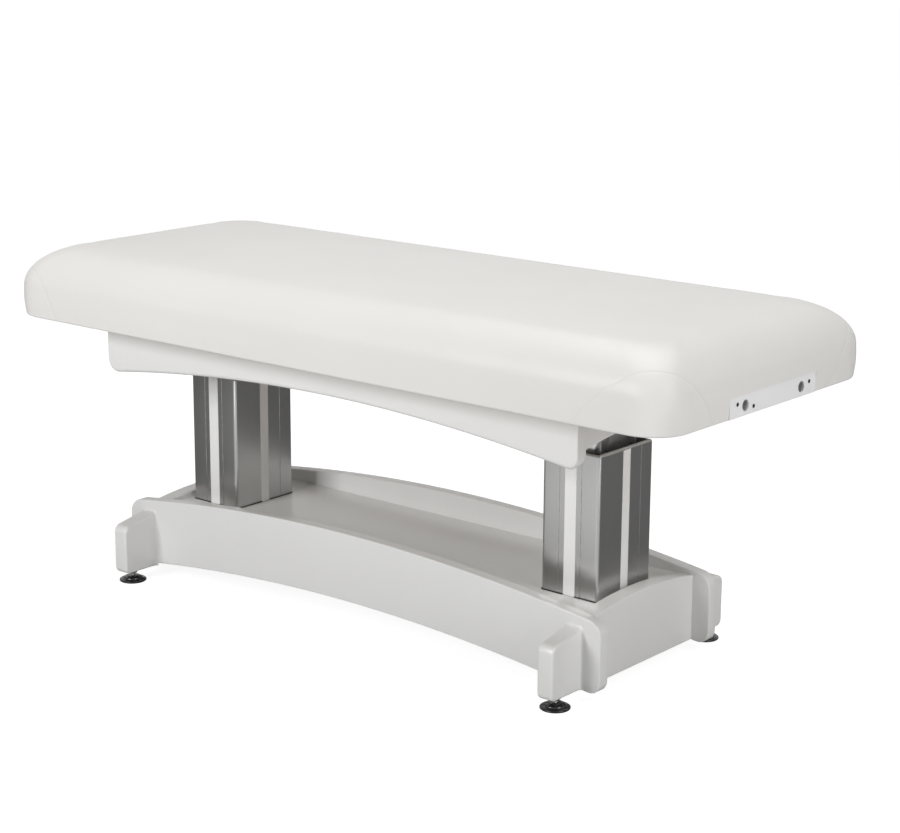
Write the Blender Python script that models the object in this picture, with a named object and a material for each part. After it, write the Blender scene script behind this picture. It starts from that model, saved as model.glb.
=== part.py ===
"""Spa treatment table on two electric lifting columns, in metres, +Z up.

The origin is on the floor under the middle of the cushion. +X points to the end with the face-rest
plate, -Y to the near long side.
"""

import math

import bmesh
import bpy

for old in list(bpy.data.objects):
    bpy.data.objects.remove(old)

# Clearances shared by all pieces
seat_gap = 0.0003
overrun = 0.010

# Cushion and its board
top_length = 1.854
top_width = 0.760
top_under_z = 0.625
top_corner_radius = 0.078
tuck_in = 0.0045
hem_width = 0.036
hem_radius = 0.006
bulge_height = 0.070
shoulder_width = 0.089
shoulder_height = 0.0765
crown_height = 0.0225
spine_half_width = 0.006
cover_thickness = 0.002
board_thickness = 0.018
top_offset = 0.017

# Face-rest plate at the +X end
plate_width = 0.316
plate_height = 0.044
plate_thickness = 0.003
plate_proud = 0.003
block_depth = 0.110
sleeve_end_inset = 0.055
sleeve_outer = 0.0254
sleeve_bore = 0.0222
sleeve_drop = 0.0005
plate_screw_out = 0.029
plate_screw_up = 0.0065
plate_screw_head = 0.0060
plate_screw_shank = 0.0035
plate_screw_length = 0.020

# Base frame
base_end_inset = 0.2325
base_rail_height = 0.1555
base_rail_thickness = 0.029
base_side_inset = 0.1665
base_rail_mid_z = 0.0715
base_rail_rise = 0.052
rail_corner_radius = 0.031
rail_edge_round = 0.004
end_rail_setback = 0.0435
end_rail_thickness = 0.0375
end_rail_bottom_z = 0.0255
end_rail_side_height = 0.1465
end_rail_crown = 0.016
deck_top_z = 0.1695
deck_thickness = 0.018

# Outriggers and levelling feet
outrigger_end_inset = 0.066
outrigger_thickness = 0.040
outrigger_side_inset = 0.070
outrigger_bottom_z = 0.0255
outrigger_outer_height = 0.118
outrigger_inner_height = 0.133
outrigger_corner_radius = 0.013
outrigger_shoulder_radius = 0.019
leveler_inset = 0.037
pad_diameter = 0.0635
pad_rim_height = 0.0045
pad_dome_height = 0.013
pad_neck_diameter = 0.026
stud_diameter = 0.010
stud_length = 0.052
stud_seat_z = 0.006
hex_across = 0.019
hex_height = 0.006

# Lifting columns
column_end_inset = 0.1685
column_size_x = 0.146
column_size_y = 0.190
column_rim_z = 0.483
column_corner_radius = 0.0085
column_wall_x = 0.009
column_wall_y = 0.0045
strip_width_long = 0.030
strip_width_side = 0.026
strip_depth = 0.002
line_offset_side = 0.052
line_offset_long = 0.028
line_width = 0.0016
line_depth = 0.0010
gasket_width = 0.0021
gasket_height = 0.0017
inner_inset = 0.023
inner_corner_radius = 0.011
inner_wall_x = 0.009
inner_wall_y = 0.004
inner_groove_width = 0.022
inner_groove_depth = 0.004
inner_groove_edge = 0.015
collar_height = 0.040
collar_drop = 0.006
collar_clearance = 0.0006
lift_down = 0.110
lift_up = 0.190
lowest_clearance = 0.004

# Cradle under each column
cradle_margin = 0.010
cradle_thickness = 0.006
cradle_bottom_z = 0.062
cradle_flange_height = 0.060

# Drive inside each column
drive_tube_outer = 0.034
drive_tube_bore = 0.022
spindle_diameter = 0.016
nut_outer = 0.040
nut_height = 0.025
nut_clearance = 0.0004
motor_clearance_x = 0.005
motor_clearance_y = 0.012

# Head plate and upper frame
head_plate_lip_x = 0.027
head_plate_lip_y = 0.035
head_plate_thickness = 0.008
weld_overlap = 0.001
upper_end_inset = 0.248
upper_rail_thickness = 0.029
upper_side_inset = 0.097
upper_rail_mid_z = 0.551
upper_rail_rise = 0.050
upper_end_rail_thickness = 0.029
upper_end_rail_mid_z = 0.541
upper_end_rail_rise = 0.032

# Control box, inlet, leads
control_size_x = 0.220
control_size_y = 0.120
control_height = 0.045
inlet_size_x = 0.050
inlet_size_z = 0.028
inlet_depth = 0.012
inlet_wall = 0.004
inlet_pocket = 0.009
lead_radius = 0.0035
lead_below_plate = 0.019
lead_clearance = 0.0005
lead_entry_run = 0.021
lead_step_length = 0.075

# Places worked out from the sizes above
base_x = -top_offset
half_length = top_length / 2
half_width = top_width / 2
board_under_z = top_under_z + cover_thickness + seat_gap
board_top_z = board_under_z + board_thickness
frame_top_z = board_under_z - seat_gap
base_rail_length = top_length - 2 * base_end_inset
base_rail_outer_y = half_width - base_side_inset
upper_rail_length = top_length - 2 * upper_end_inset
upper_rail_outer_y = half_width - upper_side_inset
column_x = base_rail_length / 2 - column_end_inset
outrigger_x = base_rail_length / 2 - outrigger_end_inset
outrigger_outer_y = half_width - outrigger_side_inset
leveler_y = outrigger_outer_y - leveler_inset
base_rail_inner_y = base_rail_outer_y - base_rail_thickness
end_rail_outer_x = base_rail_length / 2 - end_rail_setback
end_rail_inner_x = end_rail_outer_x - end_rail_thickness
plate_face_x = half_length - tuck_in + plate_proud
block_face_x = plate_face_x - plate_thickness - seat_gap
block_back_x = block_face_x - block_depth
plate_top_z = top_under_z + plate_height
sleeve_z = top_under_z + plate_height / 2 + sleeve_drop
sleeve_spacing = plate_width - 2 * sleeve_end_inset
column_foot_z = cradle_bottom_z + cradle_thickness + seat_gap
head_plate_under_z = frame_top_z - head_plate_thickness
motor_top_z = head_plate_under_z - seat_gap
inner_bottom_z = column_foot_z + lift_down + lowest_clearance
spindle_bottom_z = inner_bottom_z
nut_bottom_z = spindle_bottom_z + lift_up + lowest_clearance
nut_top_z = nut_bottom_z + nut_height
motor_bottom_z = nut_top_z + lift_down + lowest_clearance
inner_size_x = column_size_x - 2 * inner_inset
inner_size_y = column_size_y - 2 * inner_inset
hollow_x = inner_size_x - 2 * inner_wall_x
hollow_y = inner_size_y - 2 * inner_wall_y
motor_size_x = hollow_x - 2 * motor_clearance_x
motor_size_y = hollow_y - 2 * motor_clearance_y
head_plate_size_x = inner_size_x + 2 * head_plate_lip_x
head_plate_size_y = inner_size_y + 2 * head_plate_lip_y
cradle_width = column_size_x + 2 * cradle_margin
cushion_edge_z = top_under_z + bulge_height


def paint(name, colour, roughness, metallic=0.0):
    made = bpy.data.materials.new(name)
    made.use_nodes = True
    shader = made.node_tree.nodes["Principled BSDF"]
    shader.inputs["Base Color"].default_value = (*colour, 1.0)
    shader.inputs["Roughness"].default_value = roughness
    shader.inputs["Metallic"].default_value = metallic
    return made


def white_paint(name):
    return paint(name, (0.80, 0.80, 0.79), 0.35)


def aluminium(name):
    return paint(name, (0.52, 0.52, 0.51), 0.35, 1.0)


def steel(name):
    return paint(name, (0.60, 0.60, 0.60), 0.30, 1.0)


def black_plastic(name):
    return paint(name, (0.02, 0.02, 0.02), 0.45)


def birch(name):
    return paint(name, (0.62, 0.47, 0.30), 0.60)


def vinyl(name):
    return paint(name, (0.82, 0.81, 0.79), 0.45)


def foam_rubber(name):
    return paint(name, (0.86, 0.80, 0.60), 0.90)


def add_object(name, shape, finish, place=(0.0, 0.0, 0.0), smooth=False):
    """Turn a bmesh into a linked object at a place, with its outside facing out."""
    bmesh.ops.recalc_face_normals(shape, faces=shape.faces)
    mesh = bpy.data.meshes.new(name)
    shape.to_mesh(mesh)
    shape.free()
    mesh.materials.append(finish(name))
    if smooth:
        mesh.shade_smooth()
        mesh.set_sharp_from_angle(angle=math.radians(35))
    made = bpy.data.objects.new(name, mesh)
    made.location = place
    bpy.context.scene.collection.objects.link(made)
    return made


def round_edges(piece, width, segments=2):
    soften = piece.modifiers.new("rounded edges", "BEVEL")
    soften.limit_method = "ANGLE"
    soften.angle_limit = math.radians(40)
    soften.width = width
    soften.segments = segments
    piece.data.shade_smooth()
    piece.data.set_sharp_from_angle(angle=math.radians(35))


def cut(piece, cutter, operation="DIFFERENCE"):
    change = piece.modifiers.new(cutter.name, "BOOLEAN")
    change.operation = operation
    change.solver = "EXACT"
    change.object = cutter


def join(piece, added):
    cut(piece, added, "UNION")


def add_cutter(name, shape, place=(0.0, 0.0, 0.0)):
    cutter = add_object(name, shape, white_paint, place)
    cutter.hide_render = True
    cutter.display_type = "WIRE"
    return cutter


def extrude(shape, outlines, axis, start, end):
    """Extrude closed outlines along an axis; a second outline inside the first is a hole.

    An outline holds (u, v) pairs: (y, z) along X, (x, z) along Y and (x, y) along Z.
    """
    order = {"X": (2, 0, 1), "Y": (0, 2, 1), "Z": (0, 1, 2)}[axis]
    caps = {start: [], end: []}
    for outline in outlines:
        rings = []
        for level in (start, end):
            ring = []
            for u, v in outline:
                triple = (u, v, level)
                ring.append(shape.verts.new([triple[i] for i in order]))
            rings.append(ring)
            for i, corner in enumerate(ring):
                caps[level].append(shape.edges.new((corner, ring[i - 1])))
        low, high = rings
        for i in range(len(low)):
            shape.faces.new((low[i - 1], low[i], high[i], high[i - 1]))
    for edges in caps.values():
        bmesh.ops.triangle_fill(shape, edges=edges, use_beauty=True)


def box(shape, low, high):
    outline = [(low[0], low[1]), (high[0], low[1]), (high[0], high[1]), (low[0], high[1])]
    extrude(shape, [outline], "Z", low[2], high[2])


def turn(shape, profile, axis, centre, segments):
    """Turn a profile of (radius, height) pairs round an axis through a centre."""
    order = {"X": (2, 0, 1), "Y": (1, 2, 0), "Z": (0, 1, 2)}[axis]
    rings = []
    for radius, height in profile:
        count = segments if radius > 0 else 1
        ring = []
        for i in range(count):
            angle = 2 * math.pi * i / segments
            triple = (radius * math.cos(angle), radius * math.sin(angle), height)
            ring.append(shape.verts.new([triple[k] + c for k, c in zip(order, centre)]))
        rings.append(ring)
    for low, high in zip(rings, rings[1:] + rings[:1]):
        if len(low) == 1 and len(high) == 1:
            continue
        for i in range(segments):
            corners = [low[i - 1], low[i]] if len(low) > 1 else [low[0]]
            corners += [high[i], high[i - 1]] if len(high) > 1 else [high[0]]
            shape.faces.new(corners)


def rod(shape, radius, axis, centre, length, segments=12):
    """A plain cylinder that starts at its centre point and runs along its axis."""
    turn(shape, [(0, 0), (radius, 0), (radius, length), (0, length)], axis, centre, segments)


def pipe(shape, outer, bore, axis, centre, length, segments=20):
    profile = [(bore, 0), (outer, 0), (outer, length), (bore, length)]
    turn(shape, profile, axis, centre, segments)


def rounded_rectangle(size_x, size_y, radius, corner_steps=4, long_steps=1, short_steps=1):
    """Closed outline of a rectangle with round corners, anticlockwise from its +X side.

    Its long and short straight stretches are divided into the given numbers of steps.
    """
    reach_x = size_x / 2 - radius
    reach_y = size_y / 2 - radius
    points = []
    for quarter in range(4):
        sign_x = 1 if quarter in (0, 3) else -1
        sign_y = 1 if quarter in (0, 1) else -1
        for step in range(corner_steps + 1):
            angle = math.pi / 2 * (quarter + step / corner_steps)
            x = sign_x * reach_x + radius * math.cos(angle)
            y = sign_y * reach_y + radius * math.sin(angle)
            points.append((x, y))
        steps = long_steps if quarter % 2 == 0 else short_steps
        next_x = -sign_x * reach_x if quarter % 2 == 0 else points[-1][0]
        next_y = -sign_y * reach_y if quarter % 2 == 1 else points[-1][1]
        last_x, last_y = points[-1]
        for step in range(1, steps):
            share = step / steps
            points.append((last_x + (next_x - last_x) * share, last_y + (next_y - last_y) * share))
    return points


def notched_rectangle(size_x, size_y, radius, notches_x, notches_y, corner_steps=4):
    """A round-cornered rectangle whose sides carry notches of (middle, width, depth)."""
    points = []
    sides = [(size_x, size_y, notches_x), (size_y, size_x, notches_y)] * 2
    for quarter, (across, along, notches) in enumerate(sides):
        local = []
        for middle, width, depth in sorted(notches):
            local.append((across / 2, middle - width / 2))
            local.append((across / 2 - depth, middle - width / 2))
            local.append((across / 2 - depth, middle + width / 2))
            local.append((across / 2, middle + width / 2))
        for step in range(corner_steps + 1):
            angle = math.pi / 2 * step / corner_steps
            out = across / 2 - radius + radius * math.cos(angle)
            along_side = along / 2 - radius + radius * math.sin(angle)
            local.append((out, along_side))
        turned = math.pi / 2 * quarter
        for out, along_side in local:
            x = out * math.cos(turned) - along_side * math.sin(turned)
            y = out * math.sin(turned) + along_side * math.cos(turned)
            points.append((x, y))
    return points


def both_ends():
    """The two columns and ends: a name and the side of the base that it is on."""
    return (("left", -1), ("right", 1))


def four_corners():
    for side, sign_y in (("near", -1), ("far", 1)):
        for end, sign_x in both_ends():
            yield side + "_" + end, sign_x, sign_y


# Base frame

def base_rail_outline():
    """A straight bar with four round corners, bent up in an arch, as (x, z) pairs."""
    half = base_rail_length / 2
    bar = rounded_rectangle(base_rail_length, base_rail_height, rail_corner_radius, 5, 16, 1)
    middle_z = base_rail_mid_z + base_rail_height / 2
    return [(base_x + x, middle_z + z - base_rail_rise * (x / half) ** 2) for x, z in bar]


def build_base_frame():
    for side, sign_y in (("near", -1), ("far", 1)):
        shape = bmesh.new()
        inner = sign_y * base_rail_inner_y
        outer = sign_y * base_rail_outer_y
        extrude(shape, [base_rail_outline()], "Y", min(inner, outer), max(inner, outer))
        rail = add_object("base_rail_" + side, shape, white_paint)
        round_edges(rail, rail_edge_round)
    half = base_rail_inner_y - seat_gap
    steps = 12
    crowned = []
    for step in range(steps + 1):
        y = half - 2 * half * step / steps
        crowned.append((y, end_rail_side_height + end_rail_crown * (1 - (y / half) ** 2)))
    outline = [(-half, 0.0), (half, 0.0)] + crowned
    for end, sign_x in both_ends():
        shape = bmesh.new()
        outer = base_x + sign_x * end_rail_outer_x
        inner = base_x + sign_x * end_rail_inner_x
        raised = [(y, end_rail_bottom_z + z) for y, z in outline]
        extrude(shape, [raised], "X", min(inner, outer), max(inner, outer))
        rail = add_object("base_end_rail_" + end, shape, white_paint)
        round_edges(rail, rail_edge_round)


def build_deck():
    """The deck between the rails, with an opening for each column."""
    shape = bmesh.new()
    reach_x = end_rail_inner_x - seat_gap
    reach_y = base_rail_inner_y - seat_gap
    low_z = deck_top_z - deck_thickness
    box(shape, (base_x - reach_x, -reach_y, low_z), (base_x + reach_x, reach_y, deck_top_z))
    deck = add_object("base_deck", shape, white_paint)
    openings = bmesh.new()
    opening = rounded_rectangle(column_size_x + 2 * seat_gap, column_size_y + 2 * seat_gap,
                                column_corner_radius + seat_gap)
    for _, sign_x in both_ends():
        placed = [(base_x + sign_x * column_x + x, y) for x, y in opening]
        extrude(openings, [placed], "Z", low_z - overrun, deck_top_z + overrun)
    cut(deck, add_cutter("deck_openings", openings))


def outrigger_outline(sign_y):
    """Side view of an outrigger: its top slopes up to the rail, its outer corners are round."""
    inner = base_rail_outer_y + seat_gap
    outer = outrigger_outer_y
    slope = math.atan2(outrigger_inner_height - outrigger_outer_height, outer - inner)
    steps = 5
    points = [(inner, 0.0)]
    radius = outrigger_corner_radius
    for step in range(steps + 1):
        angle = math.pi / 2 * (step / steps - 1)
        points.append((outer - radius + radius * math.cos(angle), radius + radius * math.sin(angle)))
    end_angle = math.pi / 2 - slope
    radius = outrigger_shoulder_radius
    centre_z = outrigger_outer_height - radius
    for step in range(steps + 1):
        angle = end_angle * step / steps
        points.append((outer - radius + radius * math.cos(angle), centre_z + radius * math.sin(angle)))
    points.append((inner, outrigger_inner_height))
    return [(sign_y * y, outrigger_bottom_z + z) for y, z in points]


def build_outriggers():
    """The outrigger blocks, each with the threaded bore of its levelling foot."""
    radius = stud_diameter / 2 + seat_gap
    depth = stud_seat_z + stud_length + seat_gap - outrigger_bottom_z
    for corner, sign_x, sign_y in four_corners():
        shape = bmesh.new()
        middle = base_x + sign_x * outrigger_x
        half = outrigger_thickness / 2
        extrude(shape, [outrigger_outline(sign_y)], "X", middle - half, middle + half)
        block = add_object("outrigger_" + corner, shape, white_paint)
        round_edges(block, rail_edge_round)
        bore = bmesh.new()
        start = (middle, sign_y * leveler_y, outrigger_bottom_z - overrun)
        rod(bore, radius, "Z", start, depth + overrun, 16)
        cut(block, add_cutter("stud_bore_" + corner, bore))


def build_levelers():
    """Round pads, each on a threaded stud with a hexagon."""
    pad_radius = pad_diameter / 2
    neck = pad_neck_diameter / 2
    bore = stud_diameter / 2 + seat_gap
    profile = [(0, 0.0), (pad_radius, 0.0), (pad_radius, pad_rim_height)]
    steps = 4
    for step in range(1, steps + 1):
        share = step / steps
        radius = pad_radius + (neck - pad_radius) * share
        profile.append((radius, pad_rim_height + (pad_dome_height - pad_rim_height) * share ** 2))
    profile += [(bore, pad_dome_height), (bore, stud_seat_z - seat_gap), (0, stud_seat_z - seat_gap)]
    hex_bottom = outrigger_bottom_z - seat_gap - hex_height
    for corner, sign_x, sign_y in four_corners():
        centre = (base_x + sign_x * outrigger_x, sign_y * leveler_y, 0.0)
        pad = bmesh.new()
        turn(pad, profile, "Z", (0.0, 0.0, 0.0), 32)
        add_object("leveler_pad_" + corner, pad, black_plastic, centre, smooth=True)
        stud = bmesh.new()
        rod(stud, stud_diameter / 2, "Z", (0.0, 0.0, stud_seat_z), stud_length, 16)
        made = add_object("leveler_stud_" + corner, stud, steel, centre, smooth=True)
        hexagon = bmesh.new()
        rod(hexagon, hex_across / math.sqrt(3), "Z", (0.0, 0.0, hex_bottom), hex_height, 6)
        nut = add_cutter("stud_hexagon_" + corner, hexagon, centre)
        join(made, nut)


# Lifting columns

def build_cradle(end, column_middle):
    """A bent steel cradle between the side rails that the column stands on."""
    reach = base_rail_inner_y - seat_gap
    thick = cradle_thickness
    low = cradle_bottom_z
    high = low + cradle_flange_height
    outline = [(-reach, low), (reach, low), (reach, high), (reach - thick, high),
               (reach - thick, low + thick), (-reach + thick, low + thick),
               (-reach + thick, high), (-reach, high)]
    shape = bmesh.new()
    half = cradle_width / 2
    extrude(shape, [outline], "X", column_middle - half, column_middle + half)
    add_object("column_cradle_" + end, shape, steel)


def build_outer_profile(end, column_middle):
    """The outer profile with its channels and fine lines, and the white strips in them."""
    wide = [(0.0, strip_width_long, strip_depth)]
    for sign in (-1, 1):
        wide.append((sign * line_offset_long, line_width, line_depth))
    slim = [(0.0, strip_width_side, strip_depth), (line_offset_side, line_width, line_depth)]
    outer = notched_rectangle(column_size_x, column_size_y, column_corner_radius, slim, wide)
    bore = rounded_rectangle(column_size_x - 2 * column_wall_x, column_size_y - 2 * column_wall_y,
                             column_corner_radius - column_wall_y)
    shape = bmesh.new()
    extrude(shape, [outer, bore], "Z", column_foot_z, column_rim_z)
    add_object("column_outer_" + end, shape, aluminium, (column_middle, 0.0, 0.0), smooth=True)
    faces = ((column_size_x, strip_width_side, 0, ("inner", "outer")),
             (column_size_y, strip_width_long, 1, ("near", "far")))
    for size, width, across, names in faces:
        for side, sign in zip(names, (-1, 1)):
            root = sign * (size / 2 - strip_depth + seat_gap)
            face = sign * (size / 2 + seat_gap)
            half = width / 2 - seat_gap
            low = [0.0, 0.0, deck_top_z + gasket_height + 2 * seat_gap]
            high = [0.0, 0.0, column_rim_z]
            low[across], high[across] = min(root, face), max(root, face)
            low[1 - across], high[1 - across] = -half, half
            strip = bmesh.new()
            box(strip, low, high)
            name = "column_strip_" + end + "_" + side
            add_object(name, strip, white_paint, (column_middle, 0.0, 0.0))


def build_gasket(end, column_middle):
    """A thin ring on the deck round the foot of the column."""
    clearance = 2 * seat_gap
    size_x = column_size_x + 2 * clearance
    size_y = column_size_y + 2 * clearance
    radius = column_corner_radius + clearance
    bore = rounded_rectangle(size_x, size_y, radius)
    outer = rounded_rectangle(size_x + 2 * gasket_width, size_y + 2 * gasket_width,
                              radius + gasket_width)
    shape = bmesh.new()
    low = deck_top_z + seat_gap
    extrude(shape, [outer, bore], "Z", low, low + gasket_height)
    add_object("column_gasket_" + end, shape, black_plastic, (column_middle, 0.0, 0.0), smooth=True)


def build_collar(end, column_middle):
    """The glide collar fixed inside the outer profile's rim, round the inner profile."""
    outer = rounded_rectangle(column_size_x - 2 * column_wall_x - 2 * seat_gap,
                              column_size_y - 2 * column_wall_y - 2 * seat_gap,
                              column_corner_radius - column_wall_y - seat_gap)
    bore = rounded_rectangle(inner_size_x + 2 * collar_clearance, inner_size_y + 2 * collar_clearance,
                             inner_corner_radius + collar_clearance)
    shape = bmesh.new()
    high = column_rim_z - collar_drop
    extrude(shape, [outer, bore], "Z", high - collar_height, high)
    add_object("column_collar_" + end, shape, black_plastic, (column_middle, 0.0, 0.0), smooth=True)


def build_inner_profile(end, sign_x, column_middle):
    """The inner profile with its glide grooves, welded head plate and hole for the motor lead."""
    groove_middle = inner_size_y / 2 - inner_groove_edge - inner_groove_width / 2
    grooves = [(-groove_middle, inner_groove_width, inner_groove_depth),
               (groove_middle, inner_groove_width, inner_groove_depth)]
    outer = notched_rectangle(inner_size_x, inner_size_y, inner_corner_radius, grooves, [])
    bore = rounded_rectangle(hollow_x, hollow_y, inner_wall_y)
    shape = bmesh.new()
    extrude(shape, [outer, bore], "Z", inner_bottom_z, head_plate_under_z + weld_overlap)
    place = (column_middle, 0.0, 0.0)
    profile = add_object("column_inner_" + end, shape, aluminium, place, smooth=True)
    plate = bmesh.new()
    outline = rounded_rectangle(head_plate_size_x, head_plate_size_y, inner_corner_radius)
    extrude(plate, [outline], "Z", head_plate_under_z, frame_top_z)
    join(profile, add_cutter("head_plate_" + end, plate, place))
    hole = bmesh.new()
    start = -sign_x * (hollow_x / 2 - overrun)
    length = inner_wall_x + 2 * overrun
    low_x = column_middle + (start if sign_x < 0 else start - length)
    rod(hole, lead_radius + lead_clearance, "X", (low_x, 0.0, lead_exit_z()), length)
    cut(profile, add_cutter("lead_hole_" + end, hole))


def build_drive(end, column_middle):
    """The drive tube with its nut on the cradle, the spindle, the motor with its gearbox."""
    place = (column_middle, 0.0, 0.0)
    tube = bmesh.new()
    thread = spindle_diameter / 2 + nut_clearance
    profile = [(drive_tube_bore / 2, column_foot_z), (drive_tube_outer / 2, column_foot_z),
               (drive_tube_outer / 2, nut_bottom_z), (nut_outer / 2, nut_bottom_z),
               (nut_outer / 2, nut_top_z), (thread, nut_top_z),
               (thread, nut_bottom_z), (drive_tube_bore / 2, nut_bottom_z)]
    turn(tube, profile, "Z", (0.0, 0.0, 0.0), 20)
    add_object("drive_tube_" + end, tube, steel, place, smooth=True)
    spindle = bmesh.new()
    length = motor_bottom_z - seat_gap - spindle_bottom_z
    rod(spindle, spindle_diameter / 2, "Z", (0.0, 0.0, spindle_bottom_z), length, 16)
    add_object("spindle_" + end, spindle, steel, place, smooth=True)
    motor = bmesh.new()
    low = (-motor_size_x / 2, -motor_size_y / 2, motor_bottom_z)
    box(motor, low, (motor_size_x / 2, motor_size_y / 2, motor_top_z))
    housing = add_object("lift_motor_" + end, motor, black_plastic, place)
    round_edges(housing, rail_edge_round)


def build_columns():
    for end, sign_x in both_ends():
        column_middle = base_x + sign_x * column_x
        build_cradle(end, column_middle)
        build_outer_profile(end, column_middle)
        build_gasket(end, column_middle)
        build_collar(end, column_middle)
        build_inner_profile(end, sign_x, column_middle)
        build_drive(end, column_middle)


# Upper frame

def upper_rail_outline():
    """A rail with a straight top, an arched lower edge and round lower corners."""
    half = upper_rail_length / 2
    radius = rail_corner_radius
    steps = 16
    points = [(half, frame_top_z), (-half, frame_top_z)]
    low_z = upper_rail_mid_z - upper_rail_rise
    corner_steps = 5
    for step in range(corner_steps + 1):
        angle = math.pi * (1 + step / corner_steps / 2)
        x = -half + radius + radius * math.cos(angle)
        points.append((x, low_z + radius + radius * math.sin(angle) + lift_at(x, half)))
    for step in range(1, steps):
        x = -half + radius + 2 * (half - radius) * step / steps
        points.append((x, low_z + lift_at(x, half)))
    for step in range(corner_steps + 1):
        angle = math.pi * (3 + step / corner_steps) / 2
        x = half - radius + radius * math.cos(angle)
        points.append((x, low_z + radius + radius * math.sin(angle) + lift_at(x, half)))
    return [(base_x + x, z) for x, z in points]


def lift_at(x, half):
    """How far the arch has risen above the rail's ends."""
    return upper_rail_rise * (1 - (x / half) ** 2)


def build_upper_frame():
    inner_y = upper_rail_outer_y - upper_rail_thickness
    for side, sign_y in (("near", -1), ("far", 1)):
        shape = bmesh.new()
        inner = sign_y * inner_y
        outer = sign_y * upper_rail_outer_y
        extrude(shape, [upper_rail_outline()], "Y", min(inner, outer), max(inner, outer))
        rail = add_object("upper_rail_" + side, shape, white_paint)
        round_edges(rail, rail_edge_round)
    half = inner_y - seat_gap
    steps = 12
    outline = [(half, frame_top_z), (-half, frame_top_z)]
    for step in range(steps + 1):
        y = -half + 2 * half * step / steps
        outline.append((y, upper_end_rail_mid_z - upper_end_rail_rise * (y / half) ** 2))
    outer_x = upper_rail_length / 2 - end_rail_setback
    inner_x = outer_x - upper_end_rail_thickness
    for end, sign_x in both_ends():
        shape = bmesh.new()
        outer = base_x + sign_x * outer_x
        inner = base_x + sign_x * inner_x
        extrude(shape, [outline], "X", min(inner, outer), max(inner, outer))
        rail = add_object("upper_end_rail_" + end, shape, white_paint)
        round_edges(rail, rail_edge_round)


# The padded top

def cushion_profile():
    """Section of the cover's outside as (inset, height), from the hem's edge up to the spine."""
    points = [(tuck_in + hem_width, top_under_z)]
    steps = 2
    for step in range(steps + 1):
        angle = math.pi / 2 * step / steps
        inset = tuck_in + hem_radius * (1 - math.sin(angle))
        points.append((inset, top_under_z + hem_radius * (1 - math.cos(angle))))
    steps = 3
    for step in range(1, steps + 1):
        angle = math.pi / 2 * step / steps
        height = top_under_z + hem_radius + (bulge_height - hem_radius) * step / steps
        points.append((tuck_in * (1 - math.sin(angle)), height))
    steps = 6
    for step in range(1, steps + 1):
        angle = math.pi / 2 * step / steps
        inset = shoulder_width * (1 - math.cos(angle))
        height = cushion_edge_z + shoulder_height * math.sin(angle)
        points.append((inset, height + crown_at(inset)))
    steps = 4
    last = half_width - spine_half_width
    for step in range(1, steps + 1):
        inset = shoulder_width + (last - shoulder_width) * step / steps
        points.append((inset, cushion_edge_z + shoulder_height + crown_at(inset)))
    return points


def crown_at(inset):
    """Extra height of the crowned top at an inset from the cushion's side."""
    return crown_height * (1 - (1 - inset / half_width) ** 2)


def offset_profile(points, distance):
    """The same section moved inward by a distance, square to itself."""
    moved = []
    for i, (inset, height) in enumerate(points):
        before = points[max(i - 1, 0)]
        after = points[min(i + 1, len(points) - 1)]
        along_inset = after[0] - before[0]
        along_height = after[1] - before[1]
        length = math.hypot(along_inset, along_height)
        moved.append((inset + distance * along_height / length,
                      height - distance * along_inset / length))
    moved[0] = (points[0][0], points[0][1] + distance)
    moved[-1] = (points[-1][0], points[-1][1] - distance)
    return moved


def cushion_ring(shape, inset, height):
    size_x = top_length - 2 * inset
    size_y = top_width - 2 * inset
    radius = min(top_corner_radius, size_y / 2 - seat_gap)
    outline = rounded_rectangle(size_x, size_y, radius, 6, 5, 2)
    return [shape.verts.new((x, y, height)) for x, y in outline]


def join_rings(shape, rings):
    for low, high in zip(rings, rings[1:]):
        for i in range(len(low)):
            shape.faces.new((low[i - 1], low[i], high[i], high[i - 1]))


def build_top():
    """Board, foam and cover; foam and cover are cut away where the face-rest block sits."""
    opening = bmesh.new()
    reach_y = plate_width / 2 + seat_gap
    box(opening, (block_back_x - seat_gap, -reach_y, board_under_z - seat_gap / 2),
        (half_length + overrun, reach_y, plate_top_z + seat_gap))
    face_rest_opening = add_cutter("face_rest_opening", opening)

    outside = cushion_profile()
    lining = offset_profile(outside, cover_thickness)
    lining = [lining[0]] + lining[1::2] + [lining[-1]]
    shape = bmesh.new()
    sections = list(reversed(outside)) + lining
    rings = [cushion_ring(shape, inset, height) for inset, height in sections]
    join_rings(shape, rings)
    shape.faces.new(rings[0])
    shape.faces.new(rings[-1])
    cover = add_object("top_cover", shape, vinyl, smooth=True)
    cut(cover, face_rest_opening)

    foam_low_z = board_top_z + seat_gap
    board_inset = tuck_in + hem_radius + 2 * seat_gap
    padding = offset_profile(lining, 2 * seat_gap)
    padding = [point for point in padding if point[1] > foam_low_z + hem_radius]
    padding = [(board_inset, foam_low_z)] + padding
    shape = bmesh.new()
    rings = [cushion_ring(shape, inset, height) for inset, height in padding]
    join_rings(shape, rings)
    shape.faces.new(rings[0])
    shape.faces.new(rings[-1])
    foam = add_object("top_foam", shape, foam_rubber, smooth=True)
    cut(foam, face_rest_opening)

    shape = bmesh.new()
    outline = rounded_rectangle(top_length - 2 * board_inset, top_width - 2 * board_inset,
                                top_corner_radius, 6)
    extrude(shape, [outline], "Z", board_under_z, board_top_z)
    board = add_object("top_board", shape, birch)
    half = plate_width / 2
    shape = bmesh.new()
    box(shape, (block_back_x, -half, board_under_z), (block_face_x, half, plate_top_z))
    join(board, add_cutter("face_rest_block", shape))
    return board


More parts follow.
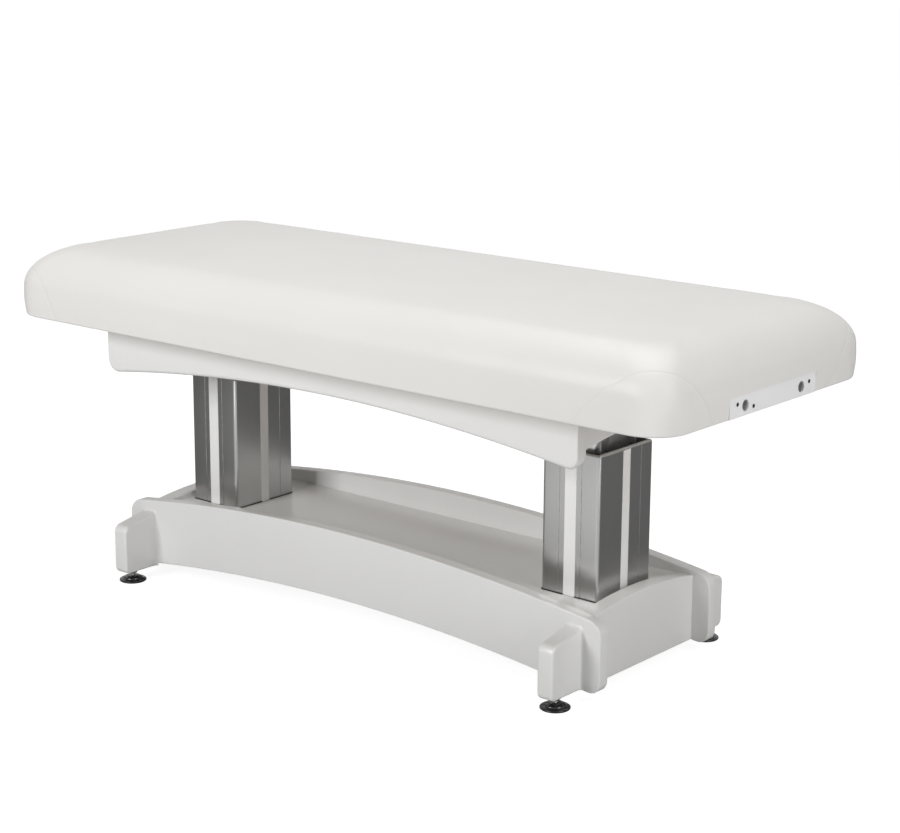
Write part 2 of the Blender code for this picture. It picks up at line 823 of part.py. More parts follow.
def build_face_rest(board):
    """The two sleeves in the board's end block, the plate over them and the plate's screws."""
    half = plate_width / 2
    shape = bmesh.new()
    box(shape, (plate_face_x - plate_thickness, -half, board_under_z),
        (plate_face_x, half, plate_top_z))
    plate = add_object("face_rest_plate", shape, white_paint)
    bores = bmesh.new()
    windows = bmesh.new()
    screw_holes = bmesh.new()
    head_back = block_face_x + seat_gap
    head_front = plate_face_x + 2 * seat_gap
    screw_back = block_face_x - plate_screw_length
    head = plate_screw_head / 2
    shank = plate_screw_shank / 2
    for side, sign_y in (("near", -1), ("far", 1)):
        y = sign_y * sleeve_spacing / 2
        sleeve = bmesh.new()
        centre = (block_back_x, y, sleeve_z)
        pipe(sleeve, sleeve_outer / 2, sleeve_bore / 2, "X", centre, block_depth, 24)
        add_object("face_rest_sleeve_" + side, sleeve, steel, smooth=True)
        start = (block_back_x - overrun, y, sleeve_z)
        rod(bores, sleeve_outer / 2 + seat_gap, "X", start, block_depth + 2 * overrun, 24)
        start = (block_face_x, y, sleeve_z)
        rod(windows, sleeve_bore / 2 + seat_gap, "X", start, plate_thickness + overrun, 24)
    spread = sleeve_spacing / 2 + plate_screw_out
    screws = (("near_outer", -spread, plate_screw_up), ("far_outer", spread, plate_screw_up),
              ("near_inner", 2 * plate_screw_out - spread, -plate_screw_up))
    for name, y, rise in screws:
        centre = (0.0, y, sleeve_z + rise)
        profile = [(0, screw_back), (shank, screw_back), (shank, head_back), (head, head_back),
                   (head, head_front), (0, head_front)]
        screw = bmesh.new()
        turn(screw, profile, "X", centre, 12)
        add_object("plate_screw_" + name, screw, black_plastic, smooth=True)
        wide = seat_gap
        profile = [(0, screw_back - wide), (shank + wide, screw_back - wide),
                   (shank + wide, head_back - wide), (head + wide, head_back - wide),
                   (head + wide, head_front + overrun), (0, head_front + overrun)]
        turn(screw_holes, profile, "X", centre, 12)
    cut(board, add_cutter("sleeve_bores", bores))
    cut(plate, add_cutter("plate_windows", windows))
    holes = add_cutter("plate_screw_holes", screw_holes)
    cut(board, holes)
    cut(plate, holes)


# Control box and leads

def lead_exit_z():
    return head_plate_under_z - lead_below_plate


def lead_run_z():
    """Height of the leads where they run along under the board."""
    return board_under_z - seat_gap - lead_radius


def build_control():
    shape = bmesh.new()
    low_z = frame_top_z - control_height
    low = (base_x - control_size_x / 2, -control_size_y / 2, low_z)
    box(shape, low, (base_x + control_size_x / 2, control_size_y / 2, frame_top_z))
    housing = add_object("control_box", shape, black_plastic)
    round_edges(housing, rail_edge_round)
    shape = bmesh.new()
    face = -control_size_y / 2 - seat_gap
    middle_z = low_z + control_height / 2
    low = (base_x - inlet_size_x / 2, face - inlet_depth, middle_z - inlet_size_z / 2)
    box(shape, low, (base_x + inlet_size_x / 2, face, middle_z + inlet_size_z / 2))
    inlet = add_object("mains_inlet", shape, black_plastic)
    pocket = bmesh.new()
    reach_x = inlet_size_x / 2 - inlet_wall
    reach_z = inlet_size_z / 2 - inlet_wall
    low = (base_x - reach_x, face - inlet_depth - overrun, middle_z - reach_z)
    high = (base_x + reach_x, face - inlet_depth + inlet_pocket, middle_z + reach_z)
    box(pocket, low, high)
    cut(inlet, add_cutter("inlet_pocket", pocket))


def build_leads():
    """Each motor's lead: out through the inner profile, along under the board, into the box."""
    for end, sign_x in both_ends():
        motor_side = column_x - motor_size_x / 2 - seat_gap
        plate_side = column_x - head_plate_size_x / 2 - 2 * lead_radius
        box_side = control_size_x / 2 + seat_gap
        exit_z = lead_exit_z()
        run_z = lead_run_z()
        entry_z = frame_top_z - control_height / 2
        entry_x = box_side + lead_entry_run
        drop_x = entry_x + lead_step_length
        route = [(motor_side, exit_z), (plate_side, exit_z)]
        route += ease(plate_side, exit_z, plate_side - lead_step_length, run_z)
        route += [(drop_x, run_z)]
        route += ease(drop_x, run_z, entry_x, entry_z)
        route += [(box_side, entry_z)]
        curve = bpy.data.curves.new("motor_lead_" + end, "CURVE")
        curve.dimensions = "3D"
        curve.bevel_depth = lead_radius
        curve.bevel_resolution = 2
        curve.use_fill_caps = True
        spline = curve.splines.new("POLY")
        spline.points.add(len(route) - 1)
        for point, (x, z) in zip(spline.points, route):
            point.co = (base_x + sign_x * x, 0.0, z, 1.0)
        lead = bpy.data.objects.new("motor_lead_" + end, curve)
        curve.materials.append(black_plastic("motor_lead_" + end))
        bpy.context.scene.collection.objects.link(lead)


def ease(start_x, start_z, end_x, end_z):
    """Points of a smooth S-shaped step between two level runs, its ends left out."""
    steps = 8
    points = []
    for step in range(1, steps + 1):
        share = step / steps
        rise = (1 - math.cos(math.pi * share)) / 2
        points.append((start_x + (end_x - start_x) * share, start_z + (end_z - start_z) * rise))
    return points


build_base_frame()
build_deck()
build_outriggers()
build_levelers()
build_columns()
build_upper_frame()
build_face_rest(build_top())
build_control()
build_leads()
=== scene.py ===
"""Looks of a spa treatment table on two lifting columns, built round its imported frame.

Everything is in metres, +Z up. +X points to the end with the face-rest plate, -Y to the near long
side. The sections follow the table as it is put together, from the base up to the padded top.
"""

import math

import bmesh
import bpy
import numpy as np
from mathutils import Matrix, Vector


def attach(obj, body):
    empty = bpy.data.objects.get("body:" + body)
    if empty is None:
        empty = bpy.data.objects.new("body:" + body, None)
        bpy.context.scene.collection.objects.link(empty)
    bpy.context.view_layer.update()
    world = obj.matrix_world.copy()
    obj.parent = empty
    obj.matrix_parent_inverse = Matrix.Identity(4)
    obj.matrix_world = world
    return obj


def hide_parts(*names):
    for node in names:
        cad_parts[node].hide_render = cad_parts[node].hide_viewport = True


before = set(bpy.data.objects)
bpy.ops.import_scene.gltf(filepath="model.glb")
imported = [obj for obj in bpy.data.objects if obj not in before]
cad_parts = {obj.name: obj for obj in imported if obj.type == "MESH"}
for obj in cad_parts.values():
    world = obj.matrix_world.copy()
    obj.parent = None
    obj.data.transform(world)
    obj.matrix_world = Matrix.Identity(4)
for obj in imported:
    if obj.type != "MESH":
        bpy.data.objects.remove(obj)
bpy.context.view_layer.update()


# Camera. It stands in front of the near right corner, a little above the cushion, and looks down
# by 14 degrees through an 86 mm lens, which gives the photograph's framing of 900 by 833.

camera_place, lens = (3.0325, -3.5281, 1.6125), 85.66
azimuth, elevation, roll = (math.radians(angle) for angle in (39.68, 13.97, 0.32))
back = Vector((math.sin(azimuth) * math.cos(elevation), -math.cos(azimuth) * math.cos(elevation),
               math.sin(elevation)))
level_right = Vector((math.cos(azimuth), math.sin(azimuth), 0.0))
level_up = back.cross(level_right)
right = level_right * math.cos(roll) + level_up * math.sin(roll)
up = level_up * math.cos(roll) - level_right * math.sin(roll)
camera = bpy.data.objects.new("camera", bpy.data.cameras.new("camera"))
camera.data.sensor_width = 36.0
camera.data.lens = lens
camera.matrix_world = Matrix.Translation(camera_place) @ Matrix((right, up, back)).transposed().to_4x4()
bpy.context.scene.collection.objects.link(camera)
bpy.context.scene.camera = camera
bpy.context.scene.view_settings.view_transform = "Standard"


# Studio. A pale floor carrying painted light: to the camera it is white with painted shade round the
# table, and to mirrors it is a painted pool of light in front, fading towards -X; an even surround,
# and four soft lamps: the key in front, two from the right and one overhead.

floor_reach, floor_grey = 30.0, 0.78
# Painted pool of light that mirrors show on the floor, weaker towards -X.
painted_pool_centre, painted_pool_near, painted_pool_far, painted_pool_stretch = (0.9, -1.6, 0.0), 1.25, 2.85, (1.0, 2.2, 1.0)
painted_pool_glow, painted_pool_low_glow, painted_pool_low_from_x, painted_pool_low_to_x = 1.18, (0.075, 0.13), 0.4, 1.4
# Painted shade round the table: for the camera the floor glows less near the middle than far off.
camera_glow_with_painted_shade, painted_shade_near, painted_shade_far = (0.90, 1.0), 1.0, 2.6
# A darker grey for the floor in mirrors than for the camera, as painted shade in its reflections.
painted_shade_mirror_grey, seen_grey = 0.06, 0.30
ambient_light, ambient_seen = 0.05, 1.0


def wire(tree, target, sockets):
    """Sets a node's inputs to constants, or links them to other nodes' outputs."""
    for name, value in sockets.items():
        if isinstance(value, bpy.types.NodeSocket):
            tree.links.new(value, target.inputs[name])
        else:
            target.inputs[name].default_value = value


def place(tree, kind, sockets=None, **settings):
    """Adds a node; its properties are set, and its inputs are set or linked by name or number."""
    made = tree.nodes.new(kind)
    for name, value in settings.items():
        setattr(made, name, value)
    wire(tree, made, sockets or {})
    return made


def worked(tree, operation, *values):
    """The output of a Math node on one or two values."""
    return place(tree, "ShaderNodeMath", dict(enumerate(values)), operation=operation).outputs[0]


def vector(tree, operation, *values, **sockets):
    """The outputs of a Vector Math node on one or two vectors, and a Scale where one is given."""
    return place(tree, "ShaderNodeVectorMath", {**dict(enumerate(values)), **sockets},
                 operation=operation).outputs


def ranged(tree, value, low, high, to_low=0.0, to_high=1.0, **settings):
    """A value mapped from one range to another, and kept inside it."""
    return place(tree, "ShaderNodeMapRange", {"Value": value, "From Min": low, "From Max": high,
                                              "To Min": to_low, "To Max": to_high}, **settings).outputs[0]


def mixed(tree, share, first, second):
    """Two floats blended by a share."""
    return place(tree, "ShaderNodeMix", {0: share, 2: first, 3: second}, data_type="FLOAT").outputs[0]


def seen_directly(tree):
    """Two masks: 1 for what the camera sees, and 1 for what the camera, a mirror or glass sees. Both
    are 0 for what only lights the table."""
    path = place(tree, "ShaderNodeLightPath").outputs
    mirrored = worked(tree, "MAXIMUM", path["Is Glossy Ray"], path["Is Transmission Ray"])
    return path["Is Camera Ray"], worked(tree, "MAXIMUM", path["Is Camera Ray"], mirrored)


def painted_pool(tree, position):
    """Painted light on the floor as a mirror shows it: a painted pool of light, full round its centre
    and fading far from it, lower still towards -X, with the distance along Y counted 2.2 times."""
    offset = vector(tree, "SUBTRACT", position, painted_pool_centre)[0]
    away = vector(tree, "LENGTH", vector(tree, "MULTIPLY", offset, painted_pool_stretch)[0])["Value"]
    along = place(tree, "ShaderNodeSeparateXYZ", {0: position}).outputs[0]
    painted_pool_low = ranged(tree, along, painted_pool_low_from_x, painted_pool_low_to_x, *painted_pool_low_glow)
    return ranged(tree, away, painted_pool_near, painted_pool_far, painted_pool_glow, painted_pool_low, interpolation_type="SMOOTHSTEP")


floor_mesh = bpy.data.meshes.new("floor")
floor_mesh.from_pydata([(-floor_reach, -floor_reach, 0), (floor_reach, -floor_reach, 0),
                        (floor_reach, floor_reach, 0), (-floor_reach, floor_reach, 0)], [], [(0, 1, 2, 3)])
floor = bpy.data.objects.new("floor", floor_mesh)
bpy.context.scene.collection.objects.link(floor)
floor_finish = bpy.data.materials.new("studio_floor")
floor_finish.use_nodes = True
tree = floor_finish.node_tree
tree.nodes.clear()
by_camera, by_sight = seen_directly(tree)
spot = place(tree, "ShaderNodeNewGeometry").outputs["Position"]
away = vector(tree, "LENGTH", spot)["Value"]
# Painted shade: the floor's glow for the camera drops near the table.
painted_shade_glow = ranged(tree, away, painted_shade_near, painted_shade_far, *camera_glow_with_painted_shade)
# The floor's glow is painted light: shade round the table for the camera, the pool for mirrors.
painted_floor_glow = mixed(tree, by_camera, painted_pool(tree, spot), painted_shade_glow)
plain = place(tree, "ShaderNodeBsdfDiffuse", {"Color": (floor_grey, floor_grey, floor_grey, 1)}).outputs[0]
soft = place(tree, "ShaderNodeBsdfDiffuse", {"Color": mixed(tree, by_camera, painted_shade_mirror_grey, seen_grey)}
             ).outputs[0]
# This emission carries the floor's painted pool of light and its painted shade.
bright = place(tree, "ShaderNodeEmission", {"Strength": painted_floor_glow}).outputs[0]
shown = place(tree, "ShaderNodeAddShader", {0: soft, 1: bright}).outputs[0]
surface = place(tree, "ShaderNodeMixShader", {0: by_sight, 1: plain, 2: shown}).outputs[0]
place(tree, "ShaderNodeOutputMaterial", {"Surface": surface})
floor.data.materials.append(floor_finish)

world = bpy.data.worlds.new("studio")
bpy.context.scene.world = world
world.use_nodes = True
tree = world.node_tree
tree.nodes.clear()
_, by_sight = seen_directly(tree)
ambient = mixed(tree, by_sight, ambient_light, ambient_seen)
surround = place(tree, "ShaderNodeBackground", {"Strength": ambient}).outputs[0]
place(tree, "ShaderNodeOutputWorld", {"Surface": surround})


def add_lamp(name, where, aim, size, watts):
    """A square area lamp at a place, turned towards a point."""
    lamp = bpy.data.lights.new(name, "AREA")
    lamp.shape = "SQUARE"
    lamp.size = size
    lamp.energy = watts
    made = bpy.data.objects.new(name, lamp)
    made.matrix_world = Matrix.Translation(where) @ (
        Vector(where) - Vector(aim)).to_track_quat("Z", "Y").to_matrix().to_4x4()
    bpy.context.scene.collection.objects.link(made)


add_lamp("key_lamp", where=(-0.8, -3.9, 2.0), aim=(0.0, 0.0, 0.4), size=1.6, watts=103.0)
add_lamp("right_fill", where=(4.4, -0.8, 1.2), aim=(0.2, 0.0, 0.4), size=2.0, watts=51.0)
add_lamp("right_lamp", where=(3.4, -0.6, 2.8), aim=(0.3, 0.0, 0.4), size=1.6, watts=26.5)
add_lamp("overhead_lamp", where=(-0.2, 0.8, 4.0), aim=(0.0, 0.0, 0.7), size=3.0, watts=83.0)


# Side rails of the base. Each is one arched board, 29 mm thick, with round corners; its arrises
# are rounded over, and it is primed and sprayed in glossy white lacquer with the other frame parts.

base_x = -0.017
rail_length, rail_height, rail_thickness = 1.389, 0.1555, 0.029
rail_outer_y, rail_mid_z, rail_rise = 0.2135, 0.0715, 0.052
rail_corner, rail_round = 0.031, 0.0028
crease_angle, merge_distance = 38.0, 0.000001


def group(name, inputs, outputs):
    """An empty shader node group with named sockets: its tree, group input and group output."""
    made = bpy.data.node_groups.new(name, "ShaderNodeTree")
    for socket, kind, value in inputs:
        given = made.interface.new_socket(socket, in_out="INPUT", socket_type=kind)
        if value is not None:
            given.default_value = value
    for socket, kind in outputs:
        made.interface.new_socket(socket, in_out="OUTPUT", socket_type=kind)
    return made, made.nodes.new("NodeGroupInput").outputs, made.nodes.new("NodeGroupOutput")


def cloudy_group():
    """A colour that drifts a little darker in soft patches, as any real sprayed or moulded one."""
    tree, given, out = group(
        "cloudy", [("Position", "NodeSocketVector", None), ("Colour", "NodeSocketColor", (1, 1, 1, 1)),
                   ("Scale", "NodeSocketFloat", 4.0), ("Amount", "NodeSocketFloat", 0.05)],
        [("Colour", "NodeSocketColor"), ("Mask", "NodeSocketFloat")])
    patches = place(tree, "ShaderNodeTexNoise", {"Vector": given["Position"], "Scale": given["Scale"],
                                                 "Detail": 2.0, "Roughness": 0.5}).outputs[0]
    mask = ranged(tree, patches, 0.2, 0.8, interpolation_type="SMOOTHSTEP")
    kept = worked(tree, "SUBTRACT", 1.0, worked(tree, "MULTIPLY", mask, given["Amount"]))
    tint = vector(tree, "SCALE", given["Colour"], Scale=kept)[0]
    wire(tree, out, {"Colour": tint, "Mask": mask})
    return tree


def relief_group():
    """Fine even relief, such as the orange peel of sprayed lacquer or a moulded grain."""
    tree, given, out = group(
        "fine_relief", [("Position", "NodeSocketVector", None), ("Scale", "NodeSocketFloat", 300.0),
                        ("Height", "NodeSocketFloat", 0.0001)], [("Normal", "NodeSocketVector")])
    ripple = place(tree, "ShaderNodeTexNoise", {"Vector": given["Position"], "Scale": given["Scale"],
                                                "Detail": 2.0}).outputs[0]
    normal = place(tree, "ShaderNodeBump", {"Height": ripple, "Distance": given["Height"],
                                            "Strength": 1.0}).outputs[0]
    wire(tree, out, {"Normal": normal})
    return tree


cloudy, fine_relief = cloudy_group(), relief_group()


def start_finish(name, **constants):
    """A new material: its tree, its Principled shader and the object's own coordinates."""
    made = bpy.data.materials.new(name)
    made.use_nodes = True
    shader = made.node_tree.nodes["Principled BSDF"]
    for socket, value in constants.items():
        shader.inputs[socket.replace("_", " ")].default_value = value
    position = place(made.node_tree, "ShaderNodeTexCoord").outputs["Object"]
    return made, made.node_tree, shader, position


def even_finish(name, colour, drift, roughness, relief_scale, relief, **constants):
    """A finish of one colour with soft patches, uneven gloss and a fine relief."""
    made, tree, shader, position = start_finish(name, **constants)
    tint = place(tree, "ShaderNodeGroup", {"Position": position, "Colour": (*colour, 1.0),
                                           "Scale": 5.0, "Amount": drift}, node_tree=cloudy).outputs
    gloss = ranged(tree, tint["Mask"], 0.0, 1.0, roughness, roughness * 1.10)
    bumps = place(tree, "ShaderNodeGroup", {"Position": position, "Scale": relief_scale,
                                            "Height": relief}, node_tree=fine_relief).outputs
    wire(tree, shader, {"Base Color": tint["Colour"], "Roughness": gloss, "Normal": bumps["Normal"]})
    return made


frame_paint = even_finish("frame_paint", (0.80, 0.80, 0.795), 0.02, 0.24, 180.0, 0.00003,
                          Specular_IOR_Level=0.5)


def mitred(outline):
    """Outward normals of a closed anticlockwise outline, (a + b) / (1 + a . b) of the normals a
    and b of the two edges at each point, so that an offset keeps its width round a corner."""
    edge = np.roll(outline, -1, axis=0) - outline
    edge /= np.linalg.norm(edge, axis=1)[:, None]
    normal = np.column_stack((edge[:, 1], -edge[:, 0]))
    before = np.roll(normal, 1, axis=0)
    return (before + normal) / (1 + np.sum(before * normal, axis=1))[:, None]


def skin(grid, ring=False):
    """The faces of a grid that closes along its rows: quads, and a cap on its first and last row,
    or with ring, quads that join its last row to its first."""
    rows, columns = grid.shape[:2]
    index = np.arange(rows * columns).reshape(rows, columns)
    if ring:
        index = np.vstack((index, index[:1]))
    around = np.roll(index, -1, axis=1)
    quads = np.stack((index[:-1], around[:-1], around[1:], index[1:]), axis=-1).reshape(-1, 4)
    return grid, [quads] if ring else [quads, index[:1, ::-1], index[-1:]]


def add_piece(name, shells, finish, body, stands_for, sharp=crease_angle):
    """Puts closed shells into one mesh, turns their faces outwards and fastens it to its body."""
    points = np.concatenate([grid.reshape(-1, 3) for grid, _ in shells])
    starts = np.cumsum([0] + [grid.size // 3 for grid, _ in shells])
    faces = []
    for start, (_, blocks) in zip(starts, shells):
        for block in blocks:
            faces += (block + start).tolist()
    mesh = bpy.data.meshes.new(name)
    mesh.from_pydata(points, [], faces)
    shape = bmesh.new()
    shape.from_mesh(mesh)
    bmesh.ops.remove_doubles(shape, verts=shape.verts, dist=merge_distance)
    bmesh.ops.recalc_face_normals(shape, faces=shape.faces)
    shape.to_mesh(mesh)
    shape.free()
    mesh.materials.append(finish)
    mesh.shade_smooth()
    mesh.set_sharp_from_angle(angle=math.radians(sharp))
    made = bpy.data.objects.new(name, mesh)
    bpy.context.scene.collection.objects.link(made)
    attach(made, body)
    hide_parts(*stands_for)
    return made


in_order = {"x": (2, 0, 1), "y": (0, 2, 1)}


def board(outline, across, low, high, radius, outward=None, steps=6):
    """A board cut to an outline: at each face the outline is drawn in by radius (1 - sin a) at
    depth radius (1 - cos a), for a from 0 to 90 degrees, with a straight wall between. The radius
    may change from point to point, and a flat margin of 0.3 radius keeps the faces true."""
    angle = np.linspace(0, np.pi / 2, steps + 1)
    radius = np.broadcast_to(radius, len(outline))
    outward = mitred(outline) if outward is None else outward
    inset = np.concatenate(([1.3], 1 - np.sin(angle)))[:, None] * radius
    depth = np.concatenate(([0.0], 1 - np.cos(angle)))[:, None] * radius
    flat = outline[None] - np.concatenate((inset, inset[::-1]))[..., None] * outward[None]
    level = np.concatenate((low + depth, high - depth[::-1]))
    return skin(np.concatenate((flat, level[..., None]), axis=2)[..., in_order[across]])


def run(start, end, steps):
    """Points of a straight run between two points, both left out."""
    share = np.linspace(0, 1, steps + 1)[1:-1, None]
    return np.asarray(start) + (np.asarray(end) - np.asarray(start)) * share


def rounded_rectangle(size_u, size_v, radius, arc, along=1, up_side=1):
    """Anticlockwise outline of a rectangle with quarter-circle corners about the origin, its
    straight runs divided into the given numbers of steps."""
    turn = np.linspace(0, np.pi / 2, arc + 1)
    reach = np.array((size_u / 2 - radius, size_v / 2 - radius))
    signs = ((1, 1), (-1, 1), (-1, -1), (1, -1))
    corners = [np.array(sign) * reach + radius * np.column_stack(
        (np.cos(turn + q * np.pi / 2), np.sin(turn + q * np.pi / 2))) for q, sign in enumerate(signs)]
    parts = []
    for q in range(4):
        steps = along if q % 2 == 0 else up_side
        parts += [corners[q], run(corners[q][-1], corners[(q + 1) % 4][0], steps)]
    return np.concatenate(parts)


rail_outline = rounded_rectangle(rail_length, rail_height, rail_corner, arc=10, along=72, up_side=4)
rail_outline[:, 1] -= rail_rise * (rail_outline[:, 0] / (rail_length / 2)) ** 2
rail_outline += (base_x, rail_mid_z + rail_height / 2)
for side, sign in (("near", -1), ("far", 1)):
    faces_y = sorted((sign * (rail_outer_y - rail_thickness), sign * rail_outer_y))
    rail = board(rail_outline, "y", *faces_y, rail_round)
    add_piece("side_rail_" + side, [rail], frame_paint, "base", ["base_rail_" + side])


# End rails of the base. They stand between the side rails, dowelled and glued, with a crowned top
# edge that shows just above the deck.

end_inner_y, end_inner_x, end_outer_x = 0.1842, 0.6135, 0.651
end_low_z, end_side_height, end_crown, end_round = 0.0255, 0.1465, 0.016, 0.003
end_share = np.linspace(1, -1, 49)
end_top = np.column_stack((end_inner_y * end_share,
                           end_low_z + end_side_height + end_crown * (1 - end_share ** 2)))
end_outline = np.concatenate(([(-end_inner_y, end_low_z), (end_inner_y, end_low_z)], end_top))


def butted(outline, reach):
    """Outward normals that stay upright where an outline butts against its neighbours at +-reach."""
    outward = mitred(outline)
    ends = np.abs(outline[:, 0]) > reach - 1e-5
    middle = (outline[:, 1].min() + outline[:, 1].max()) / 2
    outward[ends] = np.column_stack((np.zeros(ends.sum()), np.sign(outline[ends, 1] - middle)))
    return outward


for end, sign in (("left", -1), ("right", 1)):
    faces_x = sorted((base_x + sign * end_outer_x, base_x + sign * end_inner_x))
    rail = board(end_outline, "x", *faces_x, end_round, butted(end_outline, end_inner_y))
    add_piece("end_rail_" + end, [rail], frame_paint, "base", ["base_end_rail_" + end])


# Deck. One board let in between the rails, with a sawn opening for each column, lacquered with
# the frame; its arrises are only broken with paper.

sheet_arris, copy_merge_distance, flat_angle = 0.0008, 0.00002, 1.0


def softened(name, node, width, finish, body, segments=2):
    """A copy of a node's mesh, merged and freed of flat seams, its arrises broken by a bevel."""
    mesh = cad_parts[node].data.copy()
    mesh.name = name
    shape = bmesh.new()
    shape.from_mesh(mesh)
    bmesh.ops.remove_doubles(shape, verts=shape.verts, dist=copy_merge_distance)
    bmesh.ops.dissolve_limit(shape, angle_limit=math.radians(flat_angle), verts=shape.verts,
                             edges=shape.edges)
    shape.to_mesh(mesh)
    shape.free()
    mesh.materials.clear()
    mesh.materials.append(finish)
    mesh.shade_smooth()
    mesh.set_sharp_from_angle(angle=math.radians(crease_angle))
    made = bpy.data.objects.new(name, mesh)
    bpy.context.scene.collection.objects.link(made)
    soften = made.modifiers.new("broken arrises", "BEVEL")
    soften.width = width
    soften.segments = segments
    soften.limit_method = "ANGLE"
    soften.angle_limit = math.radians(crease_angle)
    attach(made, body)
    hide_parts(node)
    return made


softened("deck", "base_deck", sheet_arris, frame_paint, "base")


# Outriggers. Four blocks that carry the levelling feet, glued and screwed to the side rails from
# inside, with a small filled and painted fillet where they meet the rail.

foot_x, foot_y = 0.6285, 0.273
block_half, block_outer_y, block_low_z = 0.020, 0.310, 0.0255
block_heights = (0.118, 0.133)
block_slope = math.atan2(block_heights[1] - block_heights[0], block_outer_y - rail_outer_y)
block_corner, block_shoulder, block_round = 0.013, 0.019, 0.0055
fillet, fillet_start, fillet_root, fillet_sink = 0.005, 0.001, 0.002, 0.0003


def outrigger_outline():
    """Side view from the rail outwards: level bottom, round lower corner, upright face, round
    upper corner through 90 degrees less the slope, and the sloping top back to the rail."""
    low = np.linspace(-np.pi / 2, 0, 9)
    high = np.linspace(0, np.pi / 2 - block_slope, 9)
    lower = np.column_stack((block_outer_y - block_corner * (1 - np.cos(low)),
                             block_corner * (1 + np.sin(low))))
    upper = np.column_stack((block_outer_y - block_shoulder * (1 - np.cos(high)),
                             block_heights[0] - block_shoulder * (1 - np.sin(high))))
    outline = np.concatenate(([(rail_outer_y, 0.0)], lower, upper, [(rail_outer_y, block_heights[1])]))
    return outline + (0.0, block_low_z)


def fillet_strip(centre_x):
    """Hollow quarter circle along the joint: up one side of the block, over its top, down the
    other. At angle b it is fillet (1 - sin b) off the block and fillet (1 - cos b) off the rail,
    and its root lies inside both."""
    corner = np.linspace(0, np.pi / 2, 7)
    top = block_low_z + block_heights[1]
    reach = block_half - block_round
    arc = np.column_stack((reach + block_round * np.cos(corner), top - block_round * (1 - np.sin(corner))))
    right_half = np.concatenate(([(block_half, block_low_z + fillet_start)], arc))
    path = np.concatenate((right_half, right_half[::-1] * (-1, 1)))
    normal = np.concatenate(([(1.0, 0.0)], np.column_stack((np.cos(corner), np.sin(corner)))))
    normal = np.concatenate((normal, normal[::-1] * (-1, 1)))
    bend = np.linspace(0, np.pi / 2, 9)
    off_block = np.concatenate((fillet * (1 - np.sin(bend)), [-fillet_root, -fillet_root]))
    off_rail = np.concatenate((fillet * (1 - np.cos(bend)), [fillet, -fillet_sink]))
    along = path[:, None] + normal[:, None] * off_block[None, :, None]
    away = np.broadcast_to(off_rail, along.shape[:2])
    drop = away * math.tan(block_slope) * np.maximum(normal[:, 1], 0)[:, None]
    return np.stack((centre_x + along[..., 0], rail_outer_y + away, along[..., 1] - drop), axis=-1)


block_outline = outrigger_outline()
block_outward = mitred(block_outline)
block_outward[[0, -1]] = ((0.0, -1.0), (0.0, 1 / math.cos(block_slope)))
corners = [(side + "_" + end, sign_x, sign_y) for side, sign_y in (("near", -1), ("far", 1))
           for end, sign_x in (("left", -1), ("right", 1))]
for corner, sign_x, sign_y in corners:
    middle = base_x + sign_x * foot_x
    block = board(block_outline, "x", middle - block_half, middle + block_half, block_round,
                  block_outward)
    shells = [(grid * (1, sign_y, 1), faces) for grid, faces in (block, skin(fillet_strip(middle)))]
    add_piece("outrigger_block_" + corner, shells, frame_paint, "base",
              ["outrigger_" + corner])


# Levelling feet. A glossy black moulded pad snapped onto a zinc-plated M10 stud with a rolled
# thread and a hexagon for the spanner; the stud screws up into the outrigger.

stud_radius, stud_low_z, stud_high_z = 0.005, 0.006, 0.058
thread_depth, thread_pitch, thread_fade, stud_chamfer = 0.0006, 0.0015, 0.0015, 0.0008
hex_across, hex_low_z, hex_high_z, hex_chamfer = 0.019, 0.0192, 0.0252, 0.0007
hex_cone_share, hex_cone_rise = 1.02, 0.00176


def turned(profile, centre, steps, axis="z"):
    """A profile of (radius, height) pairs turned round an axis through a centre."""
    angle = np.linspace(0, 2 * np.pi, steps, endpoint=False)
    radius, height = profile[:, 0, None], profile[:, 1, None]
    round_u, round_v = radius * np.cos(angle), radius * np.sin(angle)
    level = np.broadcast_to(height, round_u.shape)
    order = {"x": (level, round_u, round_v), "z": (round_u, round_v, level)}[axis]
    return skin(np.stack(order, axis=-1) + np.asarray(centre))


def threaded(centre):
    """The stud's rolled thread: its radius less the depth times a rounded zigzag of
    height / pitch - angle / turn, fading into the chamfered ends."""
    steps, rows_per_turn = 24, 8
    angle = np.linspace(0, 2 * np.pi, steps, endpoint=False)
    rows = int((stud_high_z - stud_low_z) / thread_pitch * rows_per_turn)
    height = np.linspace(stud_low_z, stud_high_z, rows)[:, None]
    phase = (height / thread_pitch - angle / (2 * np.pi)) % 1.0
    groove = 0.5 - 0.5 * np.cos(2 * np.pi * phase)
    end = np.clip(np.minimum(height - stud_low_z, stud_high_z - height) / thread_fade, 0, 1)
    reach = stud_radius - thread_depth * (1 - groove * end) - stud_chamfer * (1 - end)
    level = np.broadcast_to(height, reach.shape)
    return skin(np.stack((reach * np.cos(angle), reach * np.sin(angle), level), axis=-1) + centre)


def hexagon(centre):
    """The stud's hexagon: radius is the flat's distance over the cosine to its middle, cut by a
    chamfer cone at both ends."""
    angle = np.linspace(0, 2 * np.pi, 96, endpoint=False)
    flat = hex_across / 2 / np.cos((angle + np.pi / 6) % (np.pi / 3) - np.pi / 6)
    height = np.array((hex_low_z, hex_low_z + hex_chamfer, hex_high_z - hex_chamfer, hex_high_z))
    cone = hex_across / 2 * hex_cone_share + hex_cone_rise * np.array((0.0, 1.0, 1.0, 0.0))[:, None]
    reach = np.minimum(flat, cone)
    level = np.broadcast_to(height[:, None], reach.shape)
    return skin(np.stack((reach * np.cos(angle), reach * np.sin(angle), level), axis=-1) + centre)


